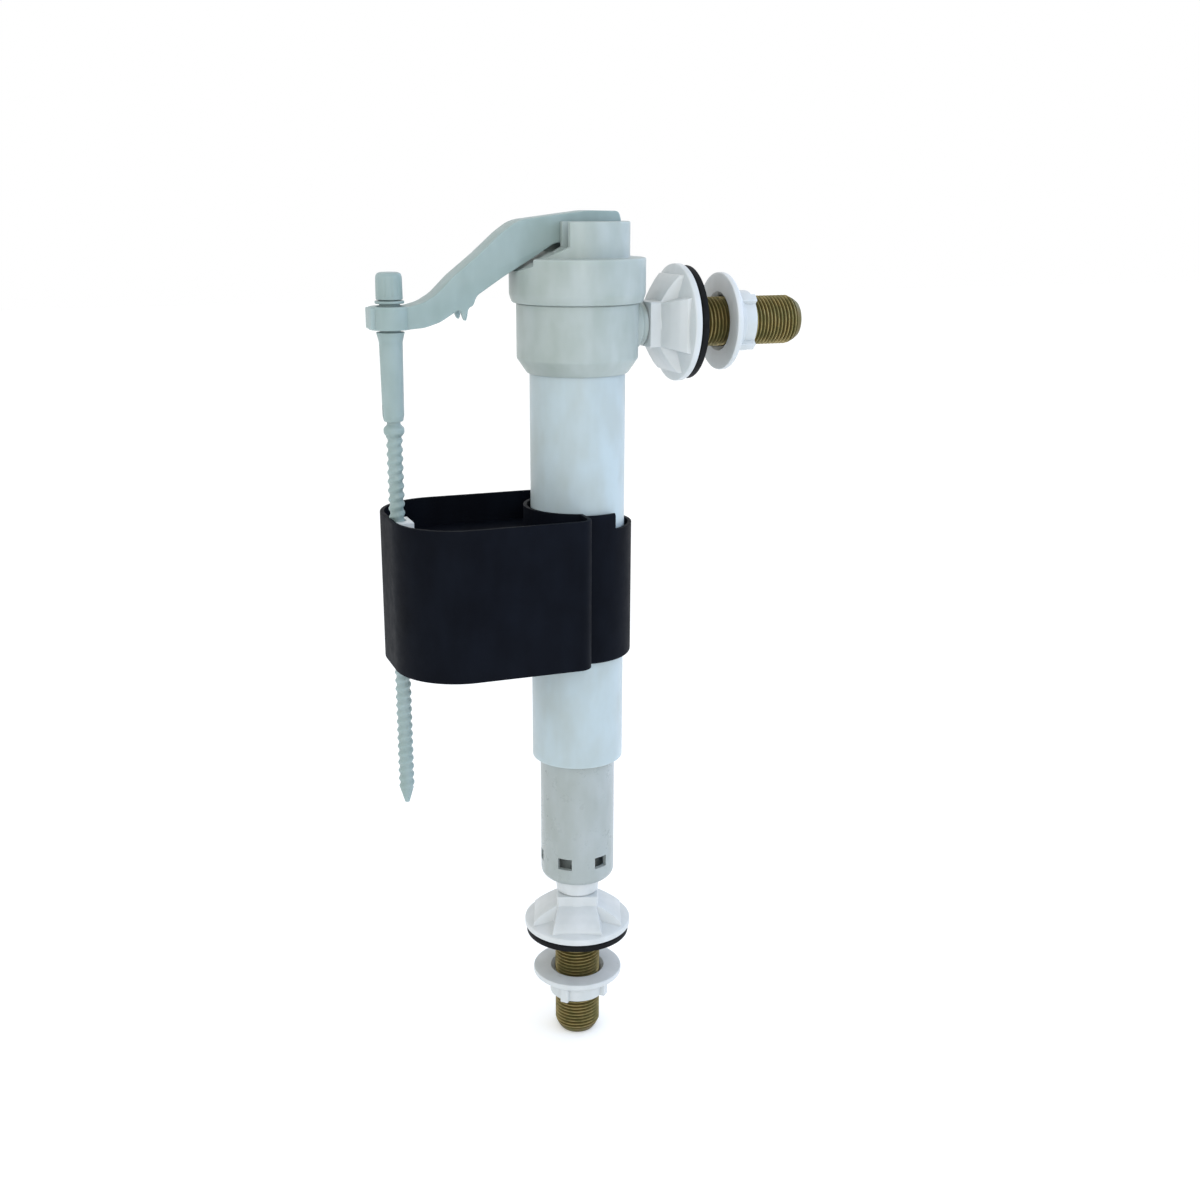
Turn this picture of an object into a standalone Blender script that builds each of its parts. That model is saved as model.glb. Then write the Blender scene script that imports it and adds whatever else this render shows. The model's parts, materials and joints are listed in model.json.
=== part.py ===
"""Float valve for a lavatory cistern, with a bottom and a side water inlet.

Shapes are worked out in millimetres and scaled to metres when a piece is finished.
The origin is where the column's axis meets the underside of the bottom sealing
washer, which rests on the cistern's floor. +Z runs up the column, the float and
its lever point along -X, and the side inlet points along +X.
"""
import math

import bmesh
import bpy
from mathutils import Matrix, Vector

MM = 0.001
GAP = 0.3
ROUND = 32
SMALL_ROUND = 20
COLLAR_ROUND = 36
FINE_ROUND = 16
WELD = 0.002

# Inlet fitting, measured along its axis from the sealing washer's outer face.
WASHER_THICKNESS = 2.5
WASHER_RADIUS = 19.0
FLANGE_FACE = WASHER_THICKNESS + GAP
FLANGE_RADIUS = 19.65
SPIGOT_LENGTH = 13.7
NOSE_LENGTH = 10.0
NOSE_RADIUS = 4.7
SPIGOT_BORE = 3.5
GRIP_HALF = 7.5
GRIP_RIB_HALF = 7.2
GRIP_NECK = 9.9
GRIP_RIB_STEP = 0.1
INSERT_DEPTH = 6.8
ORING_SETBACK = 3.0
ORING_GROOVE_HALF = 1.2
GRIP_SPREAD = 0.04
GRIP_TURN = math.radians(-20.0)
THREAD_RADIUS = 8.33
THREAD_CLEARANCE = 0.32
SHANK_END = -41.0
SHANK_BORE = 5.5
BACKNUT_HEIGHT = 10.5
BACKNUT_RADIUS = 16.5
BACKNUT_HUB = 10.3
BOTTOM_BACKNUT_FACE = -15.3
SIDE_BACKNUT_FACE = -11.7

# Column.
SOCKET_RADIUS = 8.2
SOCKET_BORE = 5.5
SOCKET_END = FLANGE_FACE + SPIGOT_LENGTH + GAP
LOWER_TUBE_RADIUS = 13.4
LOWER_TUBE_WALL = 1.7
LOWER_TUBE_BOTTOM = 23.0
LOWER_TUBE_TOP = 92.0
WINDOW_WIDTH = 5.3
WINDOW_HEIGHT = 4.3
WINDOW_CENTRE = 32.0
WINDOW_COUNT = 6
WINDOW_TURN = math.radians(50.0)
RISER_RADIUS = 6.05
RISER_BORE = 4.6
RISER_BOTTOM = 27.5
RISER_TOP = 218.7
DROP_TUBE_RADIUS = 16.15
DROP_TUBE_WALL = 2.05
DROP_TUBE_BOTTOM = 70.9
DROP_TUBE_TOP = 215.7

# Valve body and its cap.
BODY_BOTTOM = 208.2
BODY_RADIUS = 20.4
BODY_SHOULDER = 213.1
BODY_TOP = 241.2
SPIGOT_WALL_RADIUS = 20.1
DECK_BOTTOM = 227.8
DECK_TOP = 231.3
LEDGE = 236.0
SIDE_AXIS_HEIGHT = 223.6
SIDE_BOSS_RADIUS = 7.3
SIDE_BOSS_END = 23.0
SIDE_WASHER_FACE = SIDE_BOSS_END + SOCKET_END
SEAT_TOP = 233.4
SEAT_BORE = 4.0
SEAT_RECESS = 5.9
FEED_BORE = 3.0
PORT_RADIUS = 2.4
PORT_CIRCLE = 11.4
PORT_ANGLES = (75, 128, 180, 232, 285)
COLUMN_RADIUS = 8.0
MAIN_STROKE = 1.2
CAP_RADIUS = 22.7
CAP_SKIRT_BOTTOM = 231.3
CAP_DECK_BOTTOM = 241.5
CAP_DECK_TOP = 245.7
NECK_RADIUS = 17.4
NECK_WALL = 1.8
NECK_TOP = 257.2
NECK_FLOOR = 247.5
SLOT_HALF_WIDTH = 6.0
EAR_THICKNESS = 2.2
EAR_START = -8.0
NOTCH_SLOPE = 0.535
NOTCH_HALF_WIDTH = 12.0
NOTCH_START = -14.6
RELIEF_TOP = 249.4
RELIEF_BEND = -14.9
JET_BORE = 2.3
PORT_BORE = 0.8

# Lever and pilot valve.
PIVOT_POINT = (-2.0, 0.0, 254.3)
PIVOT_PIN_RADIUS = 1.5
ARM_HALF_WIDTH = 5.2
ARM_WALL = 1.6
PILOT_X = 8.0
PILOT_JET_TOP = 249.9
PILOT_PAD_BOTTOM = 251.4
PILOT_PAD_THICKNESS = 1.5
PAD_SEAT_TOP = 259.2

# Adjusting rod, on the axis of the lever's end ring.
ROD_X = -63.5
RING_CENTRE = 227.8
RING_POINT = (ROD_X, 0.0, RING_CENTRE)
RING_HALF_HEIGHT = 3.65
RING_RADIUS = 6.9
RING_BORE = 4.25
RING_PLAY = 0.8
SLEEVE_RIM = 0.9
SLEEVE_BOTTOM = 194.8
SLEEVE_BORE = 2.5
SLEEVE_SLOT_HALF = 0.7
SLEEVE_SLOT_HEIGHT = 5.5
ROD_BOTTOM = 61.1
ROD_THREAD_RADIUS = 2.6
ROD_THREAD_TOP = 190.0
ROD_SHANK_RADIUS = 2.2
ROD_TOP = 240.0
BEAD_RADIUS = 3.4
KNOB_TOP = 242.0
KNOB_RADIUS = 4.3

# Float.
FLOAT_BOTTOM = 112.0
FLOAT_TOP = 163.1
FLOAT_HALF_WIDTH = 29.0
FLOAT_END = -67.3
FLOAT_END_RADIUS = 22.0
FLOAT_SHOULDER_RADIUS = 5.0
FLOAT_SHOULDER = -4.0
FLOAT_WALL = 1.4
FLOAT_WEB_TOP = 153.1
FLOAT_WEB_THICKNESS = 1.5
FLOAT_ROD_BORE = 3.1
FLOAT_ROD_TUBE = 4.2
CLIP_BORE = 2.95
CLIP_HALF_WIDTH = 5.0
COLLAR_RADIUS = 18.7
COLLAR_BORE = 17.5
COLLAR_BOTTOM = 110.3
COLLAR_TOP = 162.4
COLLAR_STEP = 157.0
COLLAR_STEP_X = 7.6

COLUMN_PLASTIC = ("column_plastic", (0.62, 0.71, 0.74, 1.0), 0.38, 0.0)
LEVER_PLASTIC = ("lever_plastic", (0.50, 0.58, 0.56, 1.0), 0.42, 0.0)
FITTING_PLASTIC = ("fitting_plastic", (0.80, 0.83, 0.84, 1.0), 0.35, 0.0)
FLOAT_PLASTIC = ("float_plastic", (0.012, 0.016, 0.022, 1.0), 0.45, 0.0)
BRASS = ("brass", (0.42, 0.32, 0.12, 1.0), 0.35, 1.0)
RUBBER = ("rubber", (0.02, 0.02, 0.022, 1.0), 0.7, 0.0)


def clear_scene():
    """Remove every object that the scene starts with."""
    for thing in list(bpy.data.objects):
        bpy.data.objects.remove(thing, do_unlink=True)


def new_object(name, builder):
    """Make an object from a bmesh, still in millimetres."""
    mesh = bpy.data.meshes.new(name)
    builder.to_mesh(mesh)
    builder.free()
    thing = bpy.data.objects.new(name, mesh)
    bpy.context.scene.collection.objects.link(thing)
    return thing


def revolved(profile, facets=ROUND):
    """Turn a closed outline of (radius, height) points about the Z axis."""
    builder = bmesh.new()
    points = [builder.verts.new((radius, 0, height)) for radius, height in profile]
    for start, end in zip(points, points[1:] + points[:1]):
        if start.co.x > 0 or end.co.x > 0:
            builder.edges.new((start, end))
    bmesh.ops.spin(builder, geom=builder.verts[:] + builder.edges[:], axis=(0, 0, 1), cent=(0, 0, 0),
                   dvec=(0, 0, 0), angle=math.tau, steps=facets, use_merge=True)
    bmesh.ops.remove_doubles(builder, verts=builder.verts, dist=1e-4)
    bmesh.ops.recalc_face_normals(builder, faces=builder.faces)
    return builder


def tube(outer, inner, bottom, top, facets=ROUND):
    """A plain tube standing on the Z axis."""
    return revolved([(inner, bottom), (outer, bottom), (outer, top), (inner, top)], facets)


def rod(radius, bottom, top, facets=SMALL_ROUND):
    """A plain cylinder standing on the Z axis."""
    return revolved([(0, bottom), (radius, bottom), (radius, top), (0, top)], facets)


def extruded(outline, low, high, plane="XY"):
    """Extrude an outline along the axis at right angles to its plane."""
    builder = bmesh.new()
    if plane == "XY":
        corners = [builder.verts.new((x, y, low)) for x, y in outline]
        depth = Vector((0, 0, high - low))
    else:
        corners = [builder.verts.new((x, low, z)) for x, z in outline]
        depth = Vector((0, high - low, 0))
    face = builder.faces.new(corners)
    grown = bmesh.ops.extrude_face_region(builder, geom=[face], use_keep_orig=True)
    moved = [item for item in grown["geom"] if isinstance(item, bmesh.types.BMVert)]
    bmesh.ops.translate(builder, verts=moved, vec=depth)
    bmesh.ops.recalc_face_normals(builder, faces=builder.faces)
    return builder


def box(x_range, y_range, z_range):
    """A box between three pairs of limits."""
    outline = [(x_range[0], y_range[0]), (x_range[1], y_range[0]),
               (x_range[1], y_range[1]), (x_range[0], y_range[1])]
    return extruded(outline, *z_range)


def placed(builder, matrix):
    """Move a bmesh by a matrix and give it back."""
    bmesh.ops.transform(builder, matrix=matrix, verts=builder.verts)
    return builder


def along_x(height):
    """A matrix that lays a standing shape along +X at a height."""
    return Matrix.Translation((0, 0, height)) @ Matrix.Rotation(math.pi / 2, 4, "Y")


def combine(thing, builder, operation):
    """Join a shape to an object, or cut it out, and keep the result as its mesh."""
    tool = new_object("tool", builder)
    modifier = thing.modifiers.new("combine", "BOOLEAN")
    modifier.operation = operation
    modifier.object = tool
    bpy.context.view_layer.update()
    evaluated = thing.evaluated_get(bpy.context.evaluated_depsgraph_get())
    builder = bmesh.new()
    builder.from_mesh(evaluated.to_mesh())
    bmesh.ops.remove_doubles(builder, verts=builder.verts, dist=WELD)
    bmesh.ops.dissolve_degenerate(builder, edges=builder.edges, dist=WELD)
    thing.modifiers.clear()
    builder.to_mesh(thing.data)
    builder.free()
    bpy.data.objects.remove(tool, do_unlink=True)


def add(thing, builder):
    """Join a shape to an object."""
    combine(thing, builder, "UNION")


def cut(thing, builder):
    """Cut a shape out of an object."""
    combine(thing, builder, "DIFFERENCE")


def finish(thing, finish_values, origin=(0, 0, 0), parent=None):
    """Scale a piece to metres about its origin, shade it, give it its material and hang it on its frame."""
    thing.data.transform(Matrix.Scale(MM, 4) @ Matrix.Translation(-Vector(origin)))
    thing.location = Vector(origin) * MM
    name, colour, roughness, metallic = finish_values
    material = bpy.data.materials.get(name) or bpy.data.materials.new(name)
    material.use_nodes = True
    shader = material.node_tree.nodes["Principled BSDF"]
    shader.inputs["Base Color"].default_value = colour
    shader.inputs["Roughness"].default_value = roughness
    shader.inputs["Metallic"].default_value = metallic
    thing.data.materials.clear()
    thing.data.materials.append(material)
    thing.data.shade_smooth()
    thing.data.set_sharp_from_angle(angle=math.radians(35))
    if parent:
        thing.parent = parent
    return thing


def frame_at(name, location, rotation=(0, 0, 0)):
    """An empty that carries the pieces of one sub-assembly."""
    empty = bpy.data.objects.new(name, None)
    empty.location = Vector(location) * MM
    empty.rotation_euler = rotation
    bpy.context.scene.collection.objects.link(empty)
    return empty


def arc(centre, radius, start, end, steps):
    """Points on an arc, from one angle in degrees to another."""
    turns = [math.radians(start + (end - start) * step / steps) for step in range(steps + 1)]
    return [(centre[0] + radius * math.cos(turn), centre[1] + radius * math.sin(turn)) for turn in turns]


# Inlet fittings. Each is made with its nose pointing up and stands on its washer.

def grip_rib(top):
    """One of the two crossing ribs of a spigot's grip: flared at its foot and square at its top."""
    half = [(GRIP_HALF, top), (GRIP_HALF, FLANGE_FACE + GRIP_NECK), (11.0, FLANGE_FACE + 8.4),
            (14.0, FLANGE_FACE + 6.2), (16.2, FLANGE_FACE + 3.9), (16.4, FLANGE_FACE + 1.0)]
    outline = half + [(-x, z) for x, z in reversed(half)]
    rib = extruded(outline, -GRIP_RIB_HALF, GRIP_RIB_HALF, "XZ")
    for corner in rib.verts:
        corner.co.y *= 1 + GRIP_SPREAD * max(0.0, FLANGE_FACE + GRIP_NECK - corner.co.z)
    return rib


def inlet_spigot(name, frame, turn):
    """Flared spigot with a square grip, a wall flange and a nose for the socket."""
    top = FLANGE_FACE + SPIGOT_LENGTH
    tip = top + NOSE_LENGTH
    insert_top = FLANGE_FACE + INSERT_DEPTH
    insert_radius = THREAD_RADIUS + THREAD_CLEARANCE
    groove = tip - ORING_SETBACK
    below, above = groove - ORING_GROOVE_HALF, groove + ORING_GROOVE_HALF
    thing = new_object(name, revolved([
        (insert_radius, FLANGE_FACE), (FLANGE_RADIUS - 0.5, FLANGE_FACE), (FLANGE_RADIUS, FLANGE_FACE + 0.5),
        (FLANGE_RADIUS, FLANGE_FACE + 1.9), (FLANGE_RADIUS - 0.7, FLANGE_FACE + 2.4),
        (16.5, FLANGE_FACE + 3.2), (12.0, FLANGE_FACE + 4.6), (8.6, FLANGE_FACE + 7.6), (6.8, top - 0.3),
        (NOSE_RADIUS, top - 0.3), (NOSE_RADIUS, below), (3.8, below), (3.8, above),
        (NOSE_RADIUS, above), (NOSE_RADIUS, tip - 0.8), (NOSE_RADIUS - 0.6, tip),
        (SPIGOT_BORE, tip), (SPIGOT_BORE, insert_top), (insert_radius, insert_top)]))
    for quarter in (0, 1):
        around = Matrix.Rotation(turn + quarter * math.pi / 2, 4, "Z")
        add(thing, placed(grip_rib(top - GRIP_RIB_STEP * quarter), around))
    cut(thing, rod(SPIGOT_BORE, insert_top - 0.1, tip + 1))
    cut(thing, rod(insert_radius, FLANGE_FACE - 1, insert_top, ROUND))
    return finish(thing, FITTING_PLASTIC, parent=frame)


def inlet_shank(name, frame):
    """Threaded brass tail, moulded into the spigot's foot."""
    thing = new_object(name, revolved([
        (SHANK_BORE, SHANK_END), (THREAD_RADIUS - 1.1, SHANK_END), (THREAD_RADIUS, SHANK_END + 1.1),
        (THREAD_RADIUS, FLANGE_FACE + 6.5), (SHANK_BORE, FLANGE_FACE + 6.5)]))
    return finish(thing, BRASS, parent=frame)


def seal_washer(name, frame):
    """Rubber washer between the flange and the cistern's wall."""
    thing = new_object(name, tube(WASHER_RADIUS, THREAD_RADIUS + THREAD_CLEARANCE, 0, WASHER_THICKNESS))
    return finish(thing, RUBBER, parent=frame)


def nose_oring(name, frame):
    """O-ring in the groove of the spigot's nose."""
    groove = FLANGE_FACE + SPIGOT_LENGTH + NOSE_LENGTH - 3.0
    section = arc((4.65, groove), 0.55, 0, 315, 7)
    return finish(new_object(name, revolved(section, SMALL_ROUND)), RUBBER, parent=frame)


def inlet_strainer(name, frame):
    """Push-in filter cup in the bore of the brass tail, its mouth towards the supply."""
    low = SHANK_END + 3.0
    thing = new_object(name, revolved([
        (4.0, low), (SHANK_BORE - GAP, low), (SHANK_BORE - GAP, low + 1.5), (4.8, low + 2.0),
        (4.2, low + 14.0), (0, low + 14.0), (0, low + 13.0), (3.4, low + 13.0)], SMALL_ROUND))
    return finish(thing, FITTING_PLASTIC, parent=frame)


def backnut(name, frame, face):
    """Flanged plastic nut with four grip lugs, its clamping face towards the cistern's wall."""
    bore = THREAD_RADIUS + THREAD_CLEARANCE
    low = -BACKNUT_HEIGHT
    thing = new_object(name, revolved([
        (bore + 0.9, 0), (BACKNUT_RADIUS - 0.4, 0), (BACKNUT_RADIUS, -0.4), (BACKNUT_RADIUS, -1.6),
        (BACKNUT_RADIUS - 0.4, -2.1), (BACKNUT_HUB + 0.7, -5.6), (BACKNUT_HUB, -6.2), (BACKNUT_HUB, low),
        (bore, low), (bore, -0.9)]))
    for quarter in range(4):
        lug = box((BACKNUT_HUB - 0.8, BACKNUT_HUB + 1.6), (-1.5, 1.5), (low, -3.5))
        add(thing, placed(lug, Matrix.Rotation(math.radians(90 * quarter + 45), 4, "Z")))
    thing.data.transform(Matrix.Translation((0, 0, face)))
    return finish(thing, FITTING_PLASTIC, (0, 0, face), frame)


def inlet_fitting(prefix, frame, backnut_face, grip_turn=0.0):
    """All the pieces of one inlet."""
    inlet_spigot(prefix + "_inlet_spigot", frame, grip_turn)
    inlet_shank(prefix + "_inlet_shank", frame)
    seal_washer(prefix + "_seal_washer", frame)
    nose_oring(prefix + "_nose_oring", frame)
    inlet_strainer(prefix + "_inlet_strainer", frame)
    backnut(prefix + "_backnut", frame, backnut_face)


# Column.

def lower_tube():
    """Outlet tube: a socket for the bottom inlet inside a shell with outlet windows."""
    outer, inner = LOWER_TUBE_RADIUS, LOWER_TUBE_RADIUS - LOWER_TUBE_WALL
    floor_top = LOWER_TUBE_BOTTOM + 2.4
    riser_bore = RISER_RADIUS + GAP
    bottom_edge = [(outer - 2.8 + r, z) for r, z in arc((0, LOWER_TUBE_BOTTOM + 2.8), 2.8, -90, 0, 5)]
    thing = new_object("lower_tube", revolved(
        [(SOCKET_BORE, SOCKET_END), (SOCKET_RADIUS, SOCKET_END), (SOCKET_RADIUS, LOWER_TUBE_BOTTOM)]
        + bottom_edge
        + [(outer, LOWER_TUBE_TOP), (inner, LOWER_TUBE_TOP), (inner, floor_top), (SOCKET_RADIUS, floor_top),
           (SOCKET_RADIUS, 50.0), (riser_bore, 50.0), (riser_bore, RISER_BOTTOM - GAP),
           (SOCKET_BORE, RISER_BOTTOM - GAP)]))
    for number in range(WINDOW_COUNT):
        window = box((inner - 1, outer + 1), (-WINDOW_WIDTH / 2, WINDOW_WIDTH / 2),
                     (WINDOW_CENTRE - WINDOW_HEIGHT / 2, WINDOW_CENTRE + WINDOW_HEIGHT / 2))
        cut(thing, placed(window, Matrix.Rotation(math.tau * number / WINDOW_COUNT + WINDOW_TURN, 4, "Z")))
    return finish(thing, COLUMN_PLASTIC)


def riser_tube():
    """Inner tube that carries the supply from the bottom socket up to the valve seat."""
    thing = new_object("riser_tube", tube(RISER_RADIUS, RISER_BORE, RISER_BOTTOM, RISER_TOP, SMALL_ROUND))
    return finish(thing, FITTING_PLASTIC)


def riser_seal():
    """Ring that seals the riser's top against the valve body."""
    low = RISER_TOP + GAP
    thing = new_object("riser_seal", tube(RISER_RADIUS, RISER_BORE, low, low + 1.1, SMALL_ROUND))
    return finish(thing, RUBBER)


def drop_tube():
    """Outer tube that leads the water down around the riser and guides the float."""
    inner = DROP_TUBE_RADIUS - DROP_TUBE_WALL
    thing = new_object("drop_tube", tube(DROP_TUBE_RADIUS, inner, DROP_TUBE_BOTTOM, DROP_TUBE_TOP))
    return finish(thing, COLUMN_PLASTIC)


# Valve body, cap and main valve.

def valve_body():
    """Shell with a side inlet boss, a seat column and a ported deck."""
    skirt_bore = DROP_TUBE_RADIUS + GAP
    column, column_bore = COLUMN_RADIUS, RISER_RADIUS + GAP
    thing = new_object("valve_body", revolved([
        (skirt_bore, BODY_BOTTOM), (skirt_bore + 0.55, BODY_BOTTOM), (BODY_RADIUS, BODY_SHOULDER),
        (BODY_RADIUS, DECK_TOP - GAP), (SPIGOT_WALL_RADIUS, DECK_TOP - GAP), (SPIGOT_WALL_RADIUS, BODY_TOP),
        (17.4, BODY_TOP), (17.4, LEDGE), (15.5, LEDGE), (15.5, DECK_TOP), (0, DECK_TOP), (0, 212.0),
        (column, 212.0), (column, DECK_BOTTOM), (14.6, DECK_BOTTOM), (14.6, DROP_TUBE_TOP + GAP),
        (skirt_bore, DROP_TUBE_TOP + GAP)]))
    add(thing, placed(rod(SIDE_BOSS_RADIUS, 5.5, SIDE_BOSS_END, SMALL_ROUND), along_x(SIDE_AXIS_HEIGHT)))
    nose_end = SIDE_BOSS_END - GAP - NOSE_LENGTH - 0.4
    cut(thing, placed(rod(SOCKET_BORE, nose_end, SIDE_BOSS_END + 1), along_x(SIDE_AXIS_HEIGHT)))
    cut(thing, placed(rod(FEED_BORE, 0, nose_end + 1), along_x(SIDE_AXIS_HEIGHT)))
    cut(thing, revolved([
        (0, 210.0), (column_bore, 210.0), (column_bore, 220.4), (SEAT_BORE, 220.4), (SEAT_BORE, 228.2),
        (SEAT_RECESS, 228.2), (SEAT_RECESS, DECK_TOP + 1), (0, DECK_TOP + 1)], SMALL_ROUND))
    for angle in PORT_ANGLES:
        port = rod(PORT_RADIUS, DECK_BOTTOM - 1, DECK_TOP + 1, 12)
        around = Matrix.Rotation(math.radians(angle), 4, "Z")
        cut(thing, placed(port, around @ Matrix.Translation((PORT_CIRCLE, 0, 0))))
    return finish(thing, COLUMN_PLASTIC)


def main_seat():
    """Nozzle ring that the diaphragm closes on."""
    thing = new_object("main_seat", revolved([
        (SEAT_BORE, 228.5), (5.6, 228.5), (5.6, DECK_TOP + 1), (4.9, SEAT_TOP), (SEAT_BORE, SEAT_TOP)],
        SMALL_ROUND))
    return finish(thing, FITTING_PLASTIC)


def diaphragm():
    """Rubber disc that rises off the seat by the main valve's stroke."""
    low = SEAT_TOP + MAIN_STROKE + GAP
    return finish(new_object("diaphragm", tube(15.2, 1.1, low, low + 1.2)), RUBBER, (0, 0, low))


def metering_pin():
    """Backing disc with the needle that meters water into the control chamber."""
    low = SEAT_TOP + MAIN_STROKE + 2 * GAP + 1.2
    thing = new_object("metering_pin", revolved([
        (0, 229.5), (0.7, 230.2), (0.7, low), (7.0, low), (7.0, low + 1.4), (1.6, low + 1.8),
        (1.2, low + 4.2), (0, low + 4.2)], SMALL_ROUND))
    return finish(thing, FITTING_PLASTIC, (0, 0, low))


def head_gasket():
    """Sealing ring between the body's ledge and the cap."""
    return finish(new_object("head_gasket", tube(17.1, 15.8, LEDGE + GAP, LEDGE + 2 * GAP + 1.7)), RUBBER)


def head_cap():
    """Quarter-turn cap: a skirt over the body, and a neck with two ears that carry the lever."""
    neck_inner = NECK_RADIUS - NECK_WALL
    thing = new_object("head_cap", revolved([
        (0, CAP_DECK_BOTTOM), (15.0, CAP_DECK_BOTTOM), (15.0, 238.6), (17.1, 238.6), (17.1, CAP_DECK_BOTTOM),
        (20.5, CAP_DECK_BOTTOM), (20.5, CAP_SKIRT_BOTTOM), (CAP_RADIUS - 0.9, CAP_SKIRT_BOTTOM),
        (CAP_RADIUS, CAP_SKIRT_BOTTOM + 2.8), (CAP_RADIUS, CAP_DECK_TOP - 0.8),
        (CAP_RADIUS - 0.8, CAP_DECK_TOP), (NECK_RADIUS, CAP_DECK_TOP), (NECK_RADIUS, NECK_TOP - 0.4),
        (NECK_RADIUS - 0.4, NECK_TOP), (neck_inner, NECK_TOP), (neck_inner, NECK_FLOOR), (0, NECK_FLOOR)]))
    for side in (-1, 1):
        walls = sorted((side * SLOT_HALF_WIDTH, side * (SLOT_HALF_WIDTH + EAR_THICKNESS)))
        add(thing, box((-14.5, 14.5), walls, (NECK_FLOOR - 1, NECK_TOP)))
    cut(thing, extruded(arm_relief(EAR_START), -NECK_RADIUS - 1, NECK_RADIUS + 1, "XZ"))
    cut(thing, extruded(arm_relief(NOTCH_START), -NOTCH_HALF_WIDTH, NOTCH_HALF_WIDTH, "XZ"))
    cut(thing, placed(rod(PIVOT_PIN_RADIUS + 0.05, -9, 9, FINE_ROUND), across_pivot()))
    jet_bore = placed(rod(JET_BORE, 243.0, NECK_FLOOR + 1, FINE_ROUND), Matrix.Translation((PILOT_X, 0, 0)))
    cut(thing, jet_bore)
    cut(thing, placed(rod(PORT_BORE, 240.0, 244.0, 12), Matrix.Translation((PILOT_X, 0, 0))))
    return finish(thing, COLUMN_PLASTIC)


def arm_relief(start):
    """Outline of the space cleared for the lever's underside, from a place outwards."""
    def floor(x):
        return RELIEF_TOP - NOTCH_SLOPE * (EAR_START - x)
    limit = CAP_DECK_TOP if start == EAR_START else 0
    inner_end = -NECK_RADIUS - 0.01 if start == EAR_START else -CAP_RADIUS - 2
    return [(start, NECK_TOP + 2), (start, max(limit, floor(start))),
            (RELIEF_BEND, max(limit, floor(RELIEF_BEND))), (inner_end, max(limit, floor(inner_end))),
            (inner_end, NECK_TOP + 2)]


def across_pivot():
    """A matrix that lays a standing shape along the lever's pivot axis."""
    return Matrix.Translation(PIVOT_POINT) @ Matrix.Rotation(math.pi / 2, 4, "X")


def pivot_pin():
    """Pin through the ears and the lever."""
    reach = SLOT_HALF_WIDTH + EAR_THICKNESS - 0.2
    thing = new_object("pivot_pin", placed(rod(PIVOT_PIN_RADIUS, -reach, reach, FINE_ROUND), across_pivot()))
    return finish(thing, FITTING_PLASTIC, PIVOT_POINT)


def pilot_jet():
    """Small nozzle that bleeds the control chamber."""
    thing = new_object("pilot_jet", placed(revolved([
        (0.6, 243.3), (2.0, 243.3), (2.0, 248.4), (1.5, 248.8), (1.3, PILOT_JET_TOP), (0.6, PILOT_JET_TOP)],
        FINE_ROUND), Matrix.Translation((PILOT_X, 0, 0))))
    return finish(thing, BRASS)


# Lever, adjusting rod and float.

def lever_outline():
    """Side view of the lever, from its tail over the top to the ring and back below."""
    top = [(13.5, 257.4), (12.6, 260.4), (2.0, 260.6), (-9.5, 259.2), (-20.5, 257.8), (-23.2, 256.8),
           (-27.4, 253.9), (-35.5, 246.9), (-43.6, 240.6), (-49.3, 235.1), (-53.5, 232.6), (-58.5, 231.3)]
    ring = [(-62.0, 231.3), (-62.0, 224.3)]
    bottom = [(-58.5, 224.3), (-53.4, 224.7), (-48.3, 226.3), (-41.7, 230.3), (-40.5, 226.6),
              (-39.6, 226.6), (-38.9, 230.6), (-37.2, 231.2), (-36.2, 234.2), (-26.9, 240.2), (-16.4, 246.2),
              (-10.0, 250.2), (-7.4, 250.7), (13.5, 250.7)]
    return top + ring + bottom


def lever_hollow():
    """Side view of the channel under the lever's top, open below."""
    return [(12.0, 245.0), (12.0, 258.8), (2.0, 258.9), (-9.5, 257.5), (-20.0, 256.1), (-26.2, 252.2),
            (-34.4, 245.1), (-42.4, 238.9), (-48.3, 233.2), (-52.5, 230.8), (-52.5, 220.0), (-20.0, 230.0)]


def lever_arm():
    """Inverted channel on the pivot, with a ring for the rod at one end and the pilot pad's seat."""
    thing = new_object("lever_arm", extruded(lever_outline(), -ARM_HALF_WIDTH, ARM_HALF_WIDTH, "XZ"))
    inner = ARM_HALF_WIDTH - ARM_WALL
    cut(thing, extruded(lever_hollow(), -inner, inner, "XZ"))
    bottom, top = RING_CENTRE - RING_HALF_HEIGHT, RING_CENTRE + RING_HALF_HEIGHT
    ring = placed(rod(RING_RADIUS, bottom, top, 32), Matrix.Translation((ROD_X, 0, 0)))
    add(thing, ring)
    add(thing, box((ROD_X - RING_RADIUS - 0.2, ROD_X), (-4.0, 4.0), (bottom + 0.3, top - 0.3)))
    cut(thing, placed(rod(RING_BORE, bottom - 1, top + 1), Matrix.Translation((ROD_X, 0, 0))))
    add(thing, placed(rod(PIVOT_PIN_RADIUS + 1.6, -inner - 0.5, inner + 0.5, FINE_ROUND), across_pivot()))
    cut(thing, placed(rod(PIVOT_PIN_RADIUS + GAP, -9, 9, FINE_ROUND), across_pivot()))
    pad_seat = rod(3.2, PILOT_PAD_BOTTOM + PILOT_PAD_THICKNESS + GAP, PAD_SEAT_TOP, FINE_ROUND)
    add(thing, placed(pad_seat, Matrix.Translation((PILOT_X, 0, 0))))
    return finish(thing, LEVER_PLASTIC, PIVOT_POINT)


def pilot_pad():
    """Rubber pad under the lever's tail that closes the pilot jet."""
    low = PILOT_PAD_BOTTOM
    pad = placed(rod(2.9, low, low + PILOT_PAD_THICKNESS, FINE_ROUND), Matrix.Translation((PILOT_X, 0, 0)))
    return finish(new_object("pilot_pad", pad), RUBBER, PIVOT_POINT)


def on_rod(builder):
    """Move a shape from the Z axis to the rod's axis."""
    return placed(builder, Matrix.Translation((ROD_X, 0, 0)))


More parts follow.
